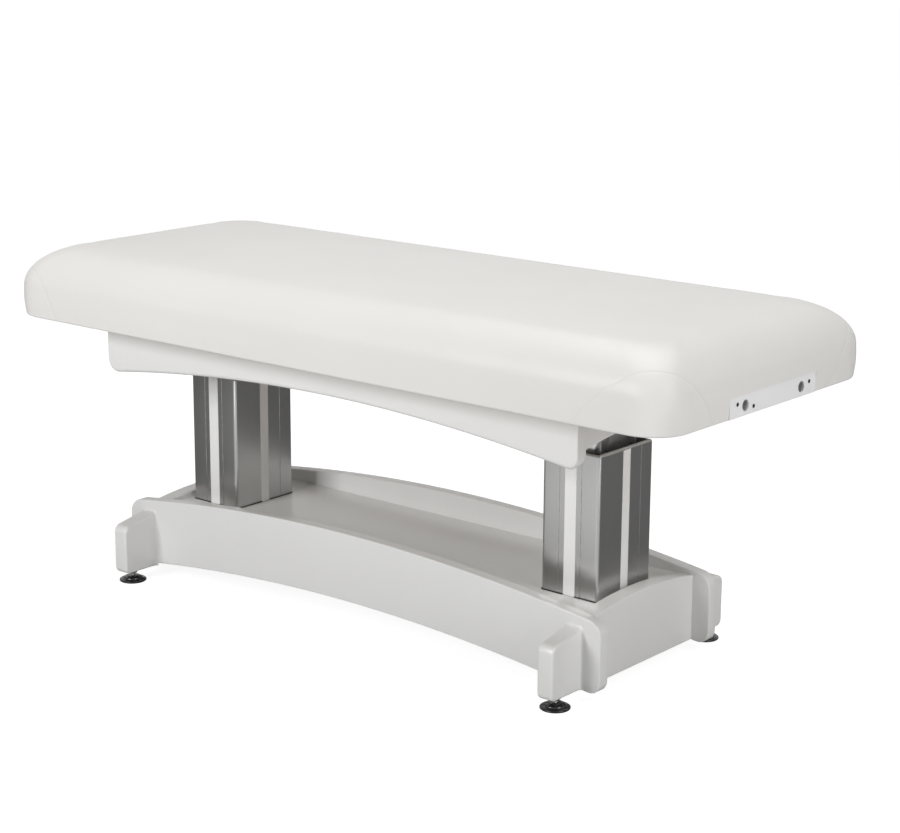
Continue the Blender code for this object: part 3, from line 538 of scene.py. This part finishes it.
glossy_black = even_finish("pad_plastic", (0.012, 0.012, 0.012), 0.2, 0.16, 420.0, 0.00004)
zinc = even_finish("zinc_steel", (0.62, 0.63, 0.64), 0.12, 0.26, 900.0, 0.00005, Metallic=1.0)
pad_profile = np.array([(0.0290, 0.0), (0.0306, 0.0003), (0.03155, 0.0012), (0.03175, 0.0022),
                        (0.03165, 0.0034), (0.0312, 0.0042), (0.0304, 0.0047), (0.0250, 0.0059),
                        (0.0226, 0.0067), (0.0218, 0.0075), (0.0215, 0.0088), (0.0212, 0.0097),
                        (0.0204, 0.0102), (0.0150, 0.0108), (0.0136, 0.0113), (0.0130, 0.0122),
                        (0.0122, 0.0129), (0.0056, 0.0130)])
for corner, sign_x, sign_y in corners:
    centre = np.array((base_x + sign_x * foot_x, sign_y * foot_y, 0.0))
    add_piece("foot_pad_" + corner, [turned(pad_profile, centre, steps=64)], glossy_black,
              "pad_" + corner, ["leveler_pad_" + corner])
    add_piece("foot_stud_" + corner, [threaded(centre), hexagon(centre)], zinc, "stud_" + corner,
              ["leveler_stud_" + corner], sharp=30.0)


# Outer profiles of the lifting columns. Extruded aluminium with a filler channel in each face, a
# fine line on both sides of it in the near and far faces and on one side in the others; brushed
# lengthwise, clear anodised, sawn off at the rim and chamfered there.

column_x, column_size = 0.526, (0.146, 0.190)
column_foot_z, column_rim_z = 0.0683, 0.483
column_bend, bend_end, rim_chamfer, channel_lip = 0.010, math.radians(58), 0.003, 0.00025
strip_width_x, strip_width_y, channel_depth = 0.026, 0.030, 0.002
line_x, line_y, line_width, line_depth = 0.052, 0.028, 0.0016, 0.001
bore_half, bore_corner = (0.064, 0.0905), 0.004


def wear_group():
    """Mask of the exposed arrises: where a rounded-over normal leaves the true one, broken by noise."""
    tree, given, out = group(
        "worn_edges", [("Position", "NodeSocketVector", None), ("Radius", "NodeSocketFloat", 0.001),
                       ("Scale", "NodeSocketFloat", 60.0)], [("Mask", "NodeSocketFloat")])
    rounded = place(tree, "ShaderNodeBevel", {"Radius": given["Radius"]}, samples=4).outputs[0]
    true = place(tree, "ShaderNodeNewGeometry").outputs["Normal"]
    edge = ranged(tree, vector(tree, "DOT_PRODUCT", rounded, true)["Value"], 0.99, 0.80)
    noise = place(tree, "ShaderNodeTexNoise", {"Vector": given["Position"], "Scale": given["Scale"],
                                               "Detail": 3.0}).outputs[0]
    wire(tree, out, {"Mask": worked(tree, "MULTIPLY", edge, ranged(tree, noise, 0.42, 0.62))})
    return tree


def streak_group():
    """Brushing and die lines that run along Z: noise squeezed lengthwise, as a mask and a normal."""
    tree, given, out = group(
        "streaks", [("Position", "NodeSocketVector", None), ("Scale", "NodeSocketFloat", 900.0),
                    ("Height", "NodeSocketFloat", 0.00004)],
        [("Mask", "NodeSocketFloat"), ("Normal", "NodeSocketVector")])
    drawn = vector(tree, "MULTIPLY", given["Position"], (1.0, 1.0, 0.006))[0]
    lines = place(tree, "ShaderNodeTexNoise", {"Vector": drawn, "Scale": given["Scale"],
                                               "Detail": 5.0, "Roughness": 0.7}).outputs[0]
    normal = place(tree, "ShaderNodeBump", {"Height": lines, "Distance": given["Height"]}).outputs[0]
    wire(tree, out, {"Mask": lines, "Normal": normal})
    return tree


worn_edges, streaks = wear_group(), streak_group()


def mixed_colour(tree, share, first, second):
    """Two colours blended by a share."""
    return place(tree, "ShaderNodeMix", {0: share, 6: first, 7: second}, data_type="RGBA").outputs[2]


def brushed(name, colour, roughness):
    """Anodised aluminium: streaked in colour, gloss and relief along Z, so that it blurs mirror
    images sideways more than upwards; worn bright at arrises, and pale and rough where it is sawn
    off and chamfered, which is where its normal points upwards."""
    made, tree, shader, position = start_finish(name, Metallic=1.0, Anisotropic=0.55)
    lines = place(tree, "ShaderNodeGroup", {"Position": position}, node_tree=streaks).outputs
    worn = place(tree, "ShaderNodeGroup", {"Position": position, "Radius": 0.0012},
                 node_tree=worn_edges).outputs
    ends = [(*(shade * share for shade in colour), 1.0) for share in (0.90, 1.06)]
    drawn = mixed_colour(tree, worn["Mask"], mixed_colour(tree, lines["Mask"], *ends), (0.8, 0.8, 0.79, 1))
    gloss = ranged(tree, lines["Mask"], 0.0, 1.0, roughness * 0.85, roughness * 1.15)
    normal = place(tree, "ShaderNodeNewGeometry").outputs["Normal"]
    upright = worked(tree, "ABSOLUTE", place(tree, "ShaderNodeSeparateXYZ", {0: normal}).outputs[2])
    sawn = ranged(tree, upright, 0.55, 0.68)
    sideways = vector(tree, "CROSS_PRODUCT", normal, (0.05, 0.03, 1.0))[0]
    wire(tree, shader, {"Base Color": mixed_colour(tree, sawn, drawn, (0.60, 0.60, 0.59, 1)),
                        "Roughness": mixed(tree, sawn, gloss, 0.6),
                        "Metallic": mixed(tree, sawn, 1.0, 0.25),
                        "Tangent": sideways, "Normal": lines["Normal"]})
    return made


anodised = brushed("anodised_aluminium", (0.50, 0.50, 0.495), 0.34)


def channelled_outline(size, channels_x, channels_y):
    """A rectangle whose sides carry channels of (middle, width, depth) with chamfered lips;
    channels_x lie in its +-X sides and channels_y in its +-Y sides. Each corner is an arc that
    leaves the Y side smoothly and meets the X side in an arris, bend_end further on: at angle a it
    is bend (1 - cos a) under the Y side and bend (sin bend_end - sin a) under the X side."""
    turn = np.linspace(0, bend_end, 9)
    under_y = column_bend * (1 - np.cos(turn))
    under_x = column_bend * (math.sin(bend_end) - np.sin(turn))
    parts = []
    sides = ((size[0], size[1], channels_x), (size[1], size[0], channels_y)) * 2
    for quarter, (across, along, channels) in enumerate(sides):
        face = across / 2
        local = []
        for middle, width, depth in sorted(channels):
            low, high = middle - width / 2, middle + width / 2
            local += [(face, low - channel_lip), (face - channel_lip, low), (face - depth, low),
                      (face - depth, high), (face - channel_lip, high), (face, high + channel_lip)]
        arc = (np.column_stack((face - under_y, along / 2 - under_x)) if quarter % 2
               else np.column_stack((face - under_x, along / 2 - under_y))[::-1])
        out, beside = np.concatenate((np.array(local).reshape(-1, 2), arc)).T
        cos, sin = ((1, 0), (0, 1), (-1, 0), (0, -1))[quarter]
        parts.append(np.column_stack((out * cos - beside * sin, out * sin + beside * cos)))
    return np.concatenate(parts)


def bored(outline, bore, radius):
    """For each outline point the nearest point on a round-cornered bore of the given half sizes:
    the point clipped to the bore's corner centres, then moved out by the corner radius."""
    core = np.clip(outline, np.array((-bore[0], -bore[1])) + radius, np.array(bore) - radius)
    away = outline - core
    return core + radius * away / np.linalg.norm(away, axis=1)[:, None]


def tube(outline, inner, centre, low, high, chamfer):
    """A wall between two outlines with the same count of points about a centre; its upper rim is
    chamfered, by clipping the outline to its own size less the chamfer."""
    limit = outline.max(axis=0) - chamfer
    rows = ((outline, low), (outline, high - chamfer), (np.clip(outline, -limit, limit), high),
            (inner, high), (inner, low))
    return skin(np.array([np.column_stack((ring + centre, np.full(len(ring), level)))
                          for ring, level in rows]), ring=True)


channels_x = [(0.0, strip_width_x, channel_depth), (line_x, line_width, line_depth)]
channels_y = [(0.0, strip_width_y, channel_depth), (-line_y, line_width, line_depth),
              (line_y, line_width, line_depth)]
outer_outline = channelled_outline(column_size, channels_x, channels_y)
outer_bore = bored(outer_outline, bore_half, bore_corner)
for end, sign in (("left", -1), ("right", 1)):
    middle = np.array((base_x + sign * column_x, 0.0))
    wall = tube(outer_outline, outer_bore, middle, column_foot_z, column_rim_z, rim_chamfer)
    add_piece("outer_profile_" + end, [wall], anodised, "base",
              ["column_outer_" + end], sharp=30.0)


# Filler strips in the columns' channels. Extruded white plastic, pressed in flush from the deck up
# to the chamfer of the rim.

strip_plastic = even_finish("strip_plastic", (0.90, 0.90, 0.89), 0.03, 0.38, 500.0, 0.00005)
strip_low_z, strip_top_z = 0.1697, column_rim_z - rim_chamfer - 0.0002
strip_play, strip_proud, strip_round, strip_end_round = 0.0003, 0.0003, 0.0003, 0.0006
strip_and_column = {"x": (strip_width_x, column_size[0]), "y": (strip_width_y, column_size[1])}
for end, sign in (("left", -1), ("right", 1)):
    middle = base_x + sign * column_x
    for where, across, side in (("near", "y", -1), ("far", "y", 1), ("inner", "x", -1), ("outer", "x", 1)):
        strip_width, size = strip_and_column[across]
        outline = rounded_rectangle(strip_width - 2 * strip_play, strip_top_z - strip_low_z,
                                    strip_end_round, arc=2)
        outline += (middle if across == "y" else 0.0, (strip_low_z + strip_top_z) / 2)
        shift = middle if across == "x" else 0.0
        faces = sorted((shift + side * (size / 2 - channel_depth + strip_play),
                        shift + side * (size / 2 + strip_proud)))
        name = end + "_" + where
        add_piece("filler_strip_" + name, [board(outline, across, *faces, strip_round, steps=3)],
                  strip_plastic, "base", ["column_strip_" + name])


# Gaskets at the foot of the columns. A thin black rubber bead laid round each column on the deck,
# cut through where a filler strip comes down to the deck.

deck_top_z, bead_corner, bead_gap = 0.1695, 0.0085, 0.0001
bead_out, bead_up, bead_half_width, bead_half_height = 0.00165, 0.00115, 0.00105, 0.00085
rubber = even_finish("gasket_rubber", (0.016, 0.016, 0.016), 0.2, 0.55, 700.0, 0.0001)


def carried(path, normal, profile):
    """A profile of (outward, height) pairs carried along a path: grid point (i, j) is path point i
    moved by profile[j, 0] along its normal, at the height profile[j, 1]."""
    flat = path[:, None] + profile[None, :, 0, None] * normal[:, None]
    level = np.broadcast_to(profile[None, :, 1, None], flat.shape[:2] + (1,))
    return np.concatenate((flat, level), axis=2)


bead_angle = np.linspace(0, 2 * np.pi, 14, endpoint=False)
bead = np.column_stack((bead_out + bead_half_width * np.cos(bead_angle),
                        deck_top_z + bead_up + bead_half_height * np.sin(bead_angle)))
bead_turn = np.linspace(0, np.pi / 2, 13)
bead_normal = np.column_stack((np.cos(bead_turn), np.sin(bead_turn)))
bead_path = np.array(column_size) / 2 - bead_corner * (1 - bead_normal)
bead_path = np.concatenate(([(column_size[0] / 2, strip_width_x / 2 - bead_gap)], bead_path,
                            [(strip_width_y / 2 - bead_gap, column_size[1] / 2)]))
bead_normal = np.concatenate((bead_normal[:1], bead_normal, bead_normal[-1:]))
for end, sign in (("left", -1), ("right", 1)):
    middle = np.array((base_x + sign * column_x, 0.0))
    lengths = [skin(carried(bead_path * quarter + middle, bead_normal * quarter, bead))
               for quarter in ((1, 1), (-1, 1), (-1, -1), (1, -1))]
    add_piece("foot_gasket_" + end, lengths, rubber, "base", ["column_gasket_" + end])


# Glide collars, fixed just inside the outer profile's rim. Moulded black nylon with a narrow
# gap round the inner profile.

collar_size, collar_corner = (0.1274, 0.1804), 0.0037
glide_half, glide_corner = (0.0506, 0.0726), 0.0116
collar_low_z, collar_top_z, collar_chamfer = 0.437, 0.477, 0.0008
black_plastic = even_finish("black_plastic", (0.022, 0.022, 0.023), 0.2, 0.42, 650.0, 0.00012)
collar_outline = rounded_rectangle(*collar_size, collar_corner, arc=8)
collar_bore = bored(collar_outline, glide_half, glide_corner)
for end, sign in (("left", -1), ("right", 1)):
    middle = np.array((base_x + sign * column_x, 0.0))
    collar = tube(collar_outline, collar_bore, middle, collar_low_z, collar_top_z, collar_chamfer)
    add_piece("glide_collar_" + end, [collar], black_plastic, "base",
              ["column_collar_" + end])


# Inner profiles with their welded head plates, and the drive inside: tube and nut, spindle, motor.
# The profiles are extruded and anodised, in a paler copy of the outer profiles' aluminium that is
# painted light; the drive stays as it was packed.

profile_arris = 0.0004
# Painted light: the inner profiles get a paler copy of the anodised aluminium.
aluminium_painted_light = brushed("pale_aluminium_painted_light", (0.74, 0.74, 0.73), 0.36)
casting = even_finish("motor_casting", (0.42, 0.42, 0.43), 0.15, 0.48, 500.0, 0.0004, Metallic=1.0)
for end in ("left", "right"):
    softened("inner_profile_" + end, "column_inner_" + end, profile_arris, aluminium_painted_light, "top")
    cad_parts["drive_tube_" + end].material_slots[0].material = zinc
    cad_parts["spindle_" + end].material_slots[0].material = zinc
    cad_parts["lift_motor_" + end].material_slots[0].material = casting


# Cradles. Each column stands in a cradle under the deck, which is bent from 6 mm steel plate, zinc
# plated, and bolted to both side rails.

for end in ("left", "right"):
    softened("cradle_" + end, "column_cradle_" + end, sheet_arris, zinc, "base")


# Rails of the upper frame. Arched underneath with round lower corners, routed round along the lower
# edge, and screwed up against the board by their straight top edge. The end rails stand between
# them, with a hollow lower edge.

top_z, upper_half, upper_thickness = 0.627, 0.679, 0.029
upper_outer_y, upper_mid_z, upper_rise = 0.283, 0.551, 0.050
broken_round, routed_round, corner_points, run_steps = 0.002, 0.007, 11, 72
cross_reach, cross_inner_x, cross_outer_x = 0.2537, 0.6065, 0.6355
cross_half, cross_mid_z, cross_rise, cross_round = 0.2540, 0.541, 0.032, 0.004


def upper_outline():
    """Straight top edge, then the arched lower edge: a quarter circle at each end and a run
    between, all raised by rise (1 - (x / half)^2)."""
    turn = np.linspace(0, np.pi / 2, corner_points)
    radius, low = rail_corner, upper_mid_z - upper_rise
    left = np.column_stack((radius - upper_half - radius * np.cos(turn),
                            low + radius - radius * np.sin(turn)))
    right_end = left[::-1] * (-1, 1)
    lower = np.concatenate((left, run(left[-1], right_end[0], run_steps), right_end))
    lower[:, 1] += upper_rise * (1 - (lower[:, 0] / upper_half) ** 2)
    return np.concatenate(([(upper_half, top_z), (-upper_half, top_z)], lower)) + (base_x, 0.0)


upper_rail_outline = upper_outline()
routed = np.linspace(0, 1, corner_points) ** 0.5
routed = broken_round + routed_round * np.concatenate(([0, 0], routed, np.ones(run_steps - 1), routed[::-1]))
for side, sign in (("near", -1), ("far", 1)):
    faces_y = sorted((sign * (upper_outer_y - upper_thickness), sign * upper_outer_y))
    rail = board(upper_rail_outline, "y", *faces_y, routed)
    add_piece("top_rail_" + side, [rail], frame_paint, "top", ["upper_rail_" + side])

cross_share = np.linspace(-1, 1, 49)
cross_low = np.column_stack((cross_reach * cross_share,
                             cross_mid_z - cross_rise * (cross_reach / cross_half * cross_share) ** 2))
cross_outline = np.concatenate(([(cross_reach, top_z), (-cross_reach, top_z)], cross_low))
for end, sign in (("left", -1), ("right", 1)):
    faces_x = sorted((base_x + sign * cross_outer_x, base_x + sign * cross_inner_x))
    rail = board(cross_outline, "x", *faces_x, cross_round, butted(cross_outline, cross_reach))
    add_piece("top_end_rail_" + end, [rail], frame_paint, "top",
              ["upper_end_rail_" + end])


# Board under the cushion. 18 mm birch plywood with a hardwood block at the +X end; its underside
# shows between the rails.

board_arris, ply = 0.0006, 0.0028


def plywood():
    """Sliced birch: long wavy growth lines along X, fine pores, and plies that show at the edge."""
    made, tree, shader, position = start_finish("birch_plywood", Specular_IOR_Level=0.35)
    drawn = vector(tree, "MULTIPLY", position, (0.7, 7.0, 7.0))[0]
    figure = place(tree, "ShaderNodeTexNoise", {"Vector": drawn, "Scale": 3.0, "Detail": 8.0,
                                                "Distortion": 1.4}).outputs[0]
    fibres = vector(tree, "MULTIPLY", position, (8.0, 240.0, 240.0))[0]
    pores = place(tree, "ShaderNodeTexNoise", {"Vector": fibres, "Scale": 4.0, "Detail": 3.0}).outputs[0]
    height = place(tree, "ShaderNodeSeparateXYZ", {0: position}).outputs[2]
    layer = ranged(tree, worked(tree, "PINGPONG", height, ply), 0.0011, 0.0017, 0.78, 1.0)
    normal = place(tree, "ShaderNodeNewGeometry").outputs["Normal"]
    flat = worked(tree, "ABSOLUTE", place(tree, "ShaderNodeSeparateXYZ", {0: normal}).outputs[2])
    wood = mixed_colour(tree, ranged(tree, figure, 0.3, 0.7), (0.50, 0.35, 0.20, 1), (0.68, 0.53, 0.35, 1))
    shade = worked(tree, "MULTIPLY", ranged(tree, pores, 0.35, 0.65, 0.86, 1.0),
                   mixed(tree, flat, layer, 1.0))
    wire(tree, shader, {"Base Color": vector(tree, "SCALE", wood, Scale=shade)[0],
                        "Roughness": ranged(tree, pores, 0.0, 1.0, 0.66, 0.5),
                        "Normal": place(tree, "ShaderNodeBump", {"Height": pores, "Distance": 0.0002}
                                        ).outputs[0]})
    return made


softened("cushion_board", "top_board", board_arris, plywood(), "top")


# Cushion. Firm foam on the board, under a taut cover of warm white vinyl with a rounded corner
# panel let in at each corner; the cover turns under the board in a narrow hem.

length, width, under_z = 1.854, 0.760, 0.625
corner_radius, tuck, hem, hem_radius = 0.078, 0.0045, 0.036, 0.006
bulge_z, shoulder, shoulder_height, crown, spine = 0.695, 0.089, 0.0765, 0.0225, 0.006
hem_edge, hem_edge_z, fold_z, cap_inset, cap_z = 0.0008, 0.0005, 0.633, 0.046, 0.634
ring_margin, soft_crease = 0.0003, 50.0
seam_half, seam_edge, seam_valley, seam_depth = 0.0004, 0.0014, 0.0050, 0.0004
right_seam, left_seam = ((0.515, 0.675, -0.529), 0.2858), ((-0.440, 0.862, -0.252), 0.5023)


def cushion_section(shoulder_steps, top_steps):
    """The cover's section as (inset, height) pairs: hem, round edge, side that bulges by the
    tuck, elliptical shoulder, and the top that rises by crown (1 - (1 - inset / half width)^2)."""
    def raised(inset):
        return crown * (1 - (1 - inset / (width / 2)) ** 2)

    turn = np.linspace(0, np.pi / 2, 7)
    edge = np.column_stack((tuck + hem_radius * (1 - np.sin(turn)),
                            under_z + hem_radius * (1 - np.cos(turn))))
    share = np.linspace(0, 1, 11)[1:]
    side = np.column_stack((tuck * (1 - np.sin(np.pi / 2 * share)),
                            under_z + hem_radius + (bulge_z - under_z - hem_radius) * share))
    turn = np.linspace(0, np.pi / 2, shoulder_steps + 1)[1:]
    inset = shoulder * (1 - np.cos(turn))
    round_off = np.column_stack((inset, bulge_z + shoulder_height * np.sin(turn) + raised(inset)))
    inset = np.linspace(shoulder, width / 2 - spine, top_steps + 1)[1:]
    top = np.column_stack((inset, bulge_z + shoulder_height + raised(inset)))
    under = np.array([(cap_inset, cap_z), (tuck + hem, fold_z), (tuck + hem, under_z + hem_edge_z),
                      (tuck + hem - hem_edge, under_z), (tuck + hem * 2 / 3, under_z),
                      (tuck + hem / 3, under_z)])
    return np.concatenate((under, edge, side, round_off, top))


def cushion_grid(section, arc, along, across):
    """Ring j is a rounded rectangle drawn in from the cushion's plan by section[j, 0], at height
    section[j, 1]; its corner radius stays the same until the ring is too narrow for it."""
    rings = np.array([rounded_rectangle(length - 2 * inset, width - 2 * inset,
                                        min(corner_radius, width / 2 - inset - ring_margin),
                                        arc, along, across) for inset, _ in section])
    level = np.broadcast_to(section[:, 1, None, None], rings.shape[:2] + (1,))
    return np.concatenate((rings, level), axis=2)


def places(mesh):
    """The places of a mesh's vertices, one row each."""
    flat = np.empty(len(mesh.vertices) * 3)
    mesh.vertices.foreach_get("co", flat)
    return flat.reshape(-1, 3)


def swell(pad):
    """Blows up a copy of the pad as cloth: remeshed evenly, held at the board, pressed from
    inside for twenty frames, and kept within a cap of where each point started."""
    voxel, held_below_z, last_frame, cap = 0.006, 0.652, 20, 0.0025
    pad.modifiers.new("even mesh", "REMESH").voxel_size = voxel
    graph = bpy.context.evaluated_depsgraph_get()
    mesh = bpy.data.meshes.new_from_object(pad.evaluated_get(graph))
    pad.modifiers.clear()
    pad.data = mesh
    start = places(mesh)
    held = pad.vertex_groups.new(name="held")
    held.add(np.flatnonzero(start[:, 2] < held_below_z).tolist(), 1.0, "REPLACE")
    cloth = pad.modifiers.new("cloth", "CLOTH")
    cloth.settings.quality = 4
    cloth.settings.mass = 0.3
    cloth.settings.tension_stiffness = 40
    cloth.settings.compression_stiffness = 40
    cloth.settings.bending_stiffness = 8
    cloth.settings.use_pressure = True
    cloth.settings.uniform_pressure_force = 4.0
    cloth.settings.effector_weights.gravity = 0.0
    cloth.settings.vertex_group_mass = "held"
    cloth.point_cache.frame_start, cloth.point_cache.frame_end = 1, last_frame
    for step in range(1, last_frame + 1):
        bpy.context.scene.frame_set(step)
    graph = bpy.context.evaluated_depsgraph_get()
    move = places(pad.evaluated_get(graph).to_mesh()) - start
    pad.modifiers.clear()
    far = np.linalg.norm(move, axis=1)[:, None]
    move *= np.minimum(1.0, cap / np.maximum(far, 1e-9))
    mesh.vertices.foreach_set("co", (start + move).ravel())
    mesh.update()
    even = pad.modifiers.new("even out", "SMOOTH")
    even.factor, even.iterations = 0.5, 10
    pad.modifiers.new("finer", "SUBSURF").levels = 1
    bpy.context.scene.frame_set(1)


def vinyl():
    """Smooth upholstery vinyl: a fine pebbled grain, soft patches of gloss, and at the corner
    panels a seam, which is where the distance to the panel's plane is nil."""
    made, tree, shader, position = start_finish("upholstery_vinyl", Specular_IOR_Level=0.4)
    split = place(tree, "ShaderNodeSeparateXYZ", {0: position}).outputs
    folded = place(tree, "ShaderNodeCombineXYZ", {0: split[0], 1: worked(tree, "ABSOLUTE", split[1]),
                                                  2: split[2]}).outputs[0]
    distances = []
    for normal, offset in (left_seam, right_seam):
        along = vector(tree, "DOT_PRODUCT", folded, normal)["Value"]
        distances.append(worked(tree, "ABSOLUTE", worked(tree, "SUBTRACT", along, offset)))
    gap = mixed(tree, worked(tree, "GREATER_THAN", split[0], 0.0), *distances)
    line = ranged(tree, gap, seam_half, seam_edge, 0.05, 0.0)
    valley = ranged(tree, gap, 0.0, seam_valley, interpolation_type="SMOOTHSTEP")
    tint = place(tree, "ShaderNodeGroup", {"Position": position, "Colour": (0.80, 0.79, 0.765, 1.0),
                                           "Scale": 3.0, "Amount": 0.03}, node_tree=cloudy).outputs
    pebbles = place(tree, "ShaderNodeTexVoronoi", {"Vector": position, "Scale": 900.0},
                    feature="SMOOTH_F1").outputs["Distance"]
    grain = place(tree, "ShaderNodeBump", {"Height": pebbles, "Distance": 0.00007}).outputs[0]
    seam = place(tree, "ShaderNodeBump", {"Height": valley, "Distance": seam_depth, "Normal": grain}
                 ).outputs[0]
    wire(tree, shader, {"Base Color": mixed_colour(tree, line, tint["Colour"], (0.32, 0.31, 0.29, 1)),
                        "Roughness": ranged(tree, tint["Mask"], 0.0, 1.0, 0.40, 0.50),
                        "Normal": seam})
    return made


section = cushion_section(shoulder_steps=24, top_steps=34)
cushion_shell = skin(cushion_grid(section, arc=14, along=120, across=40))
cushion = add_piece("cushion", [cushion_shell], vinyl(), "top",
                    ["top_cover", "top_foam"], sharp=soft_crease)
free_from_z, free_span = 0.640, 0.050
coarse = cushion_section(shoulder_steps=12, top_steps=16)
coarse = coarse[coarse[:, 1] > (fold_z + cap_z) / 2]
grid, blocks = skin(cushion_grid(coarse, arc=8, along=60, across=20))
pad_mesh = bpy.data.meshes.new("foam_form")
pad_mesh.from_pydata(grid.reshape(-1, 3), [], [face for block in blocks for face in block.tolist()])
pad = bpy.data.objects.new("foam_form", pad_mesh)
bpy.context.scene.collection.objects.link(pad)
swell(pad)
height = places(cushion.data)[:, 2]
free = cushion.vertex_groups.new(name="free")
for weight in np.linspace(0.1, 1.0, 10):
    near = np.abs(np.clip((height - free_from_z) / free_span, 0, 1) - weight) < 0.05
    free.add(np.flatnonzero(near).tolist(), float(weight), "REPLACE")
wrap = cushion.modifiers.new("to the blown pad", "SHRINKWRAP")
wrap.target = pad
wrap.wrap_method = "NEAREST_SURFACEPOINT"
wrap.vertex_group = "free"
graph = bpy.context.evaluated_depsgraph_get()
taut = bpy.data.meshes.new_from_object(cushion.evaluated_get(graph))
cushion.modifiers.clear()
cushion.data = taut
bpy.data.objects.remove(pad)


def notched(piece, low, high):
    """Cuts a box out of a piece, for the face-rest block and its plate."""
    bpy.ops.mesh.primitive_cube_add(size=1.0, location=(Vector(low) + Vector(high)) / 2)
    cutter = bpy.context.object
    cutter.scale = Vector(high) - Vector(low)
    cut = piece.modifiers.new("notch", "BOOLEAN")
    cut.object, cut.operation, cut.solver = cutter, "DIFFERENCE", "EXACT"
    graph = bpy.context.evaluated_depsgraph_get()
    mesh = bpy.data.meshes.new_from_object(piece.evaluated_get(graph))
    piece.modifiers.clear()
    piece.data = mesh
    mesh.set_sharp_from_angle(angle=math.radians(soft_crease))
    bpy.data.objects.remove(cutter)


notch_x, notch_half_y, notch_z = (0.8119, 0.940), 0.1583, (0.62715, 0.6693)
notched(cushion, (notch_x[0], -notch_half_y, notch_z[0]), (notch_x[1], notch_half_y, notch_z[1]))


# Face-rest plate. A flat painted plate let into the cushion's end over the block, with a window
# in front of each steel sleeve and three small black screws whose heads stand slightly proud.

plate_x, plate_arris = 0.9255, 0.0005
sleeve_y, sleeve_z, sleeve_back_x, sleeve_front_x = 0.103, 0.6475, 0.8122, 0.9221
sleeve_bore, sleeve_radius, sleeve_chamfer = 0.0111, 0.0127, 0.0005
screw_outer_y, screw_inner_y, screw_up = 0.132, 0.074, 0.0065
plate_paint = even_finish("plate_paint", (0.91, 0.91, 0.91), 0.02, 0.22, 300.0, 0.00004)
softened("end_plate", "face_rest_plate", plate_arris, plate_paint, "top")
sleeve_steel = even_finish("sleeve_steel", (0.50, 0.50, 0.50), 0.15, 0.45, 700.0, 0.0001, Metallic=0.35)
sleeve_profile = np.array([(sleeve_bore, sleeve_back_x), (sleeve_radius, sleeve_back_x),
                           (sleeve_radius, sleeve_front_x - sleeve_chamfer),
                           (sleeve_radius - sleeve_chamfer, sleeve_front_x),
                           (sleeve_bore + sleeve_chamfer, sleeve_front_x),
                           (sleeve_bore, sleeve_front_x - sleeve_chamfer)])
for side, sign in (("near", -1), ("far", 1)):
    grid, _ = turned(sleeve_profile, (0.0, sign * sleeve_y, sleeve_z), steps=64, axis="x")
    add_piece("post_sleeve_" + side, [skin(grid, ring=True)], sleeve_steel, "top",
              ["face_rest_sleeve_" + side])

black_screw = even_finish("screw_black", (0.012, 0.012, 0.012), 0.15, 0.50, 900.0, 0.00006)
head_profile = np.array([(0.0010, -0.0200), (0.00175, -0.0190), (0.00175, -0.0030), (0.0029, -0.0025),
                         (0.0029, 0.0), (0.0039, 0.0001), (0.0042, 0.0004), (0.0038, 0.0008),
                         (0.0019, 0.0010), (0.0016, -0.0010)])
for name, y, z in (("near_outer", -screw_outer_y, sleeve_z + screw_up),
                   ("far_outer", screw_outer_y, sleeve_z + screw_up),
                   ("near_inner", -screw_inner_y, sleeve_z - screw_up)):
    head = turned(head_profile + (0.0, plate_x), (0.0, y, z), steps=32, axis="x")
    add_piece("screw_head_" + name, [head], black_screw, "top",
              ["plate_screw_" + name])


# Control box, its mains inlet and the two motor leads. The box is moulded in black plastic and
# screwed up under the board, with the inlet let into its near side; the leads have black rubber
# sheaths and are clipped to the board.

box_arris, inlet_arris = 0.0004, 0.0008
softened("control_housing", "control_box", box_arris, black_plastic, "top", segments=1)
softened("inlet_socket", "mains_inlet", inlet_arris, black_plastic, "top")
for end in ("left", "right"):
    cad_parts["motor_lead_" + end].material_slots[0].material = rubber
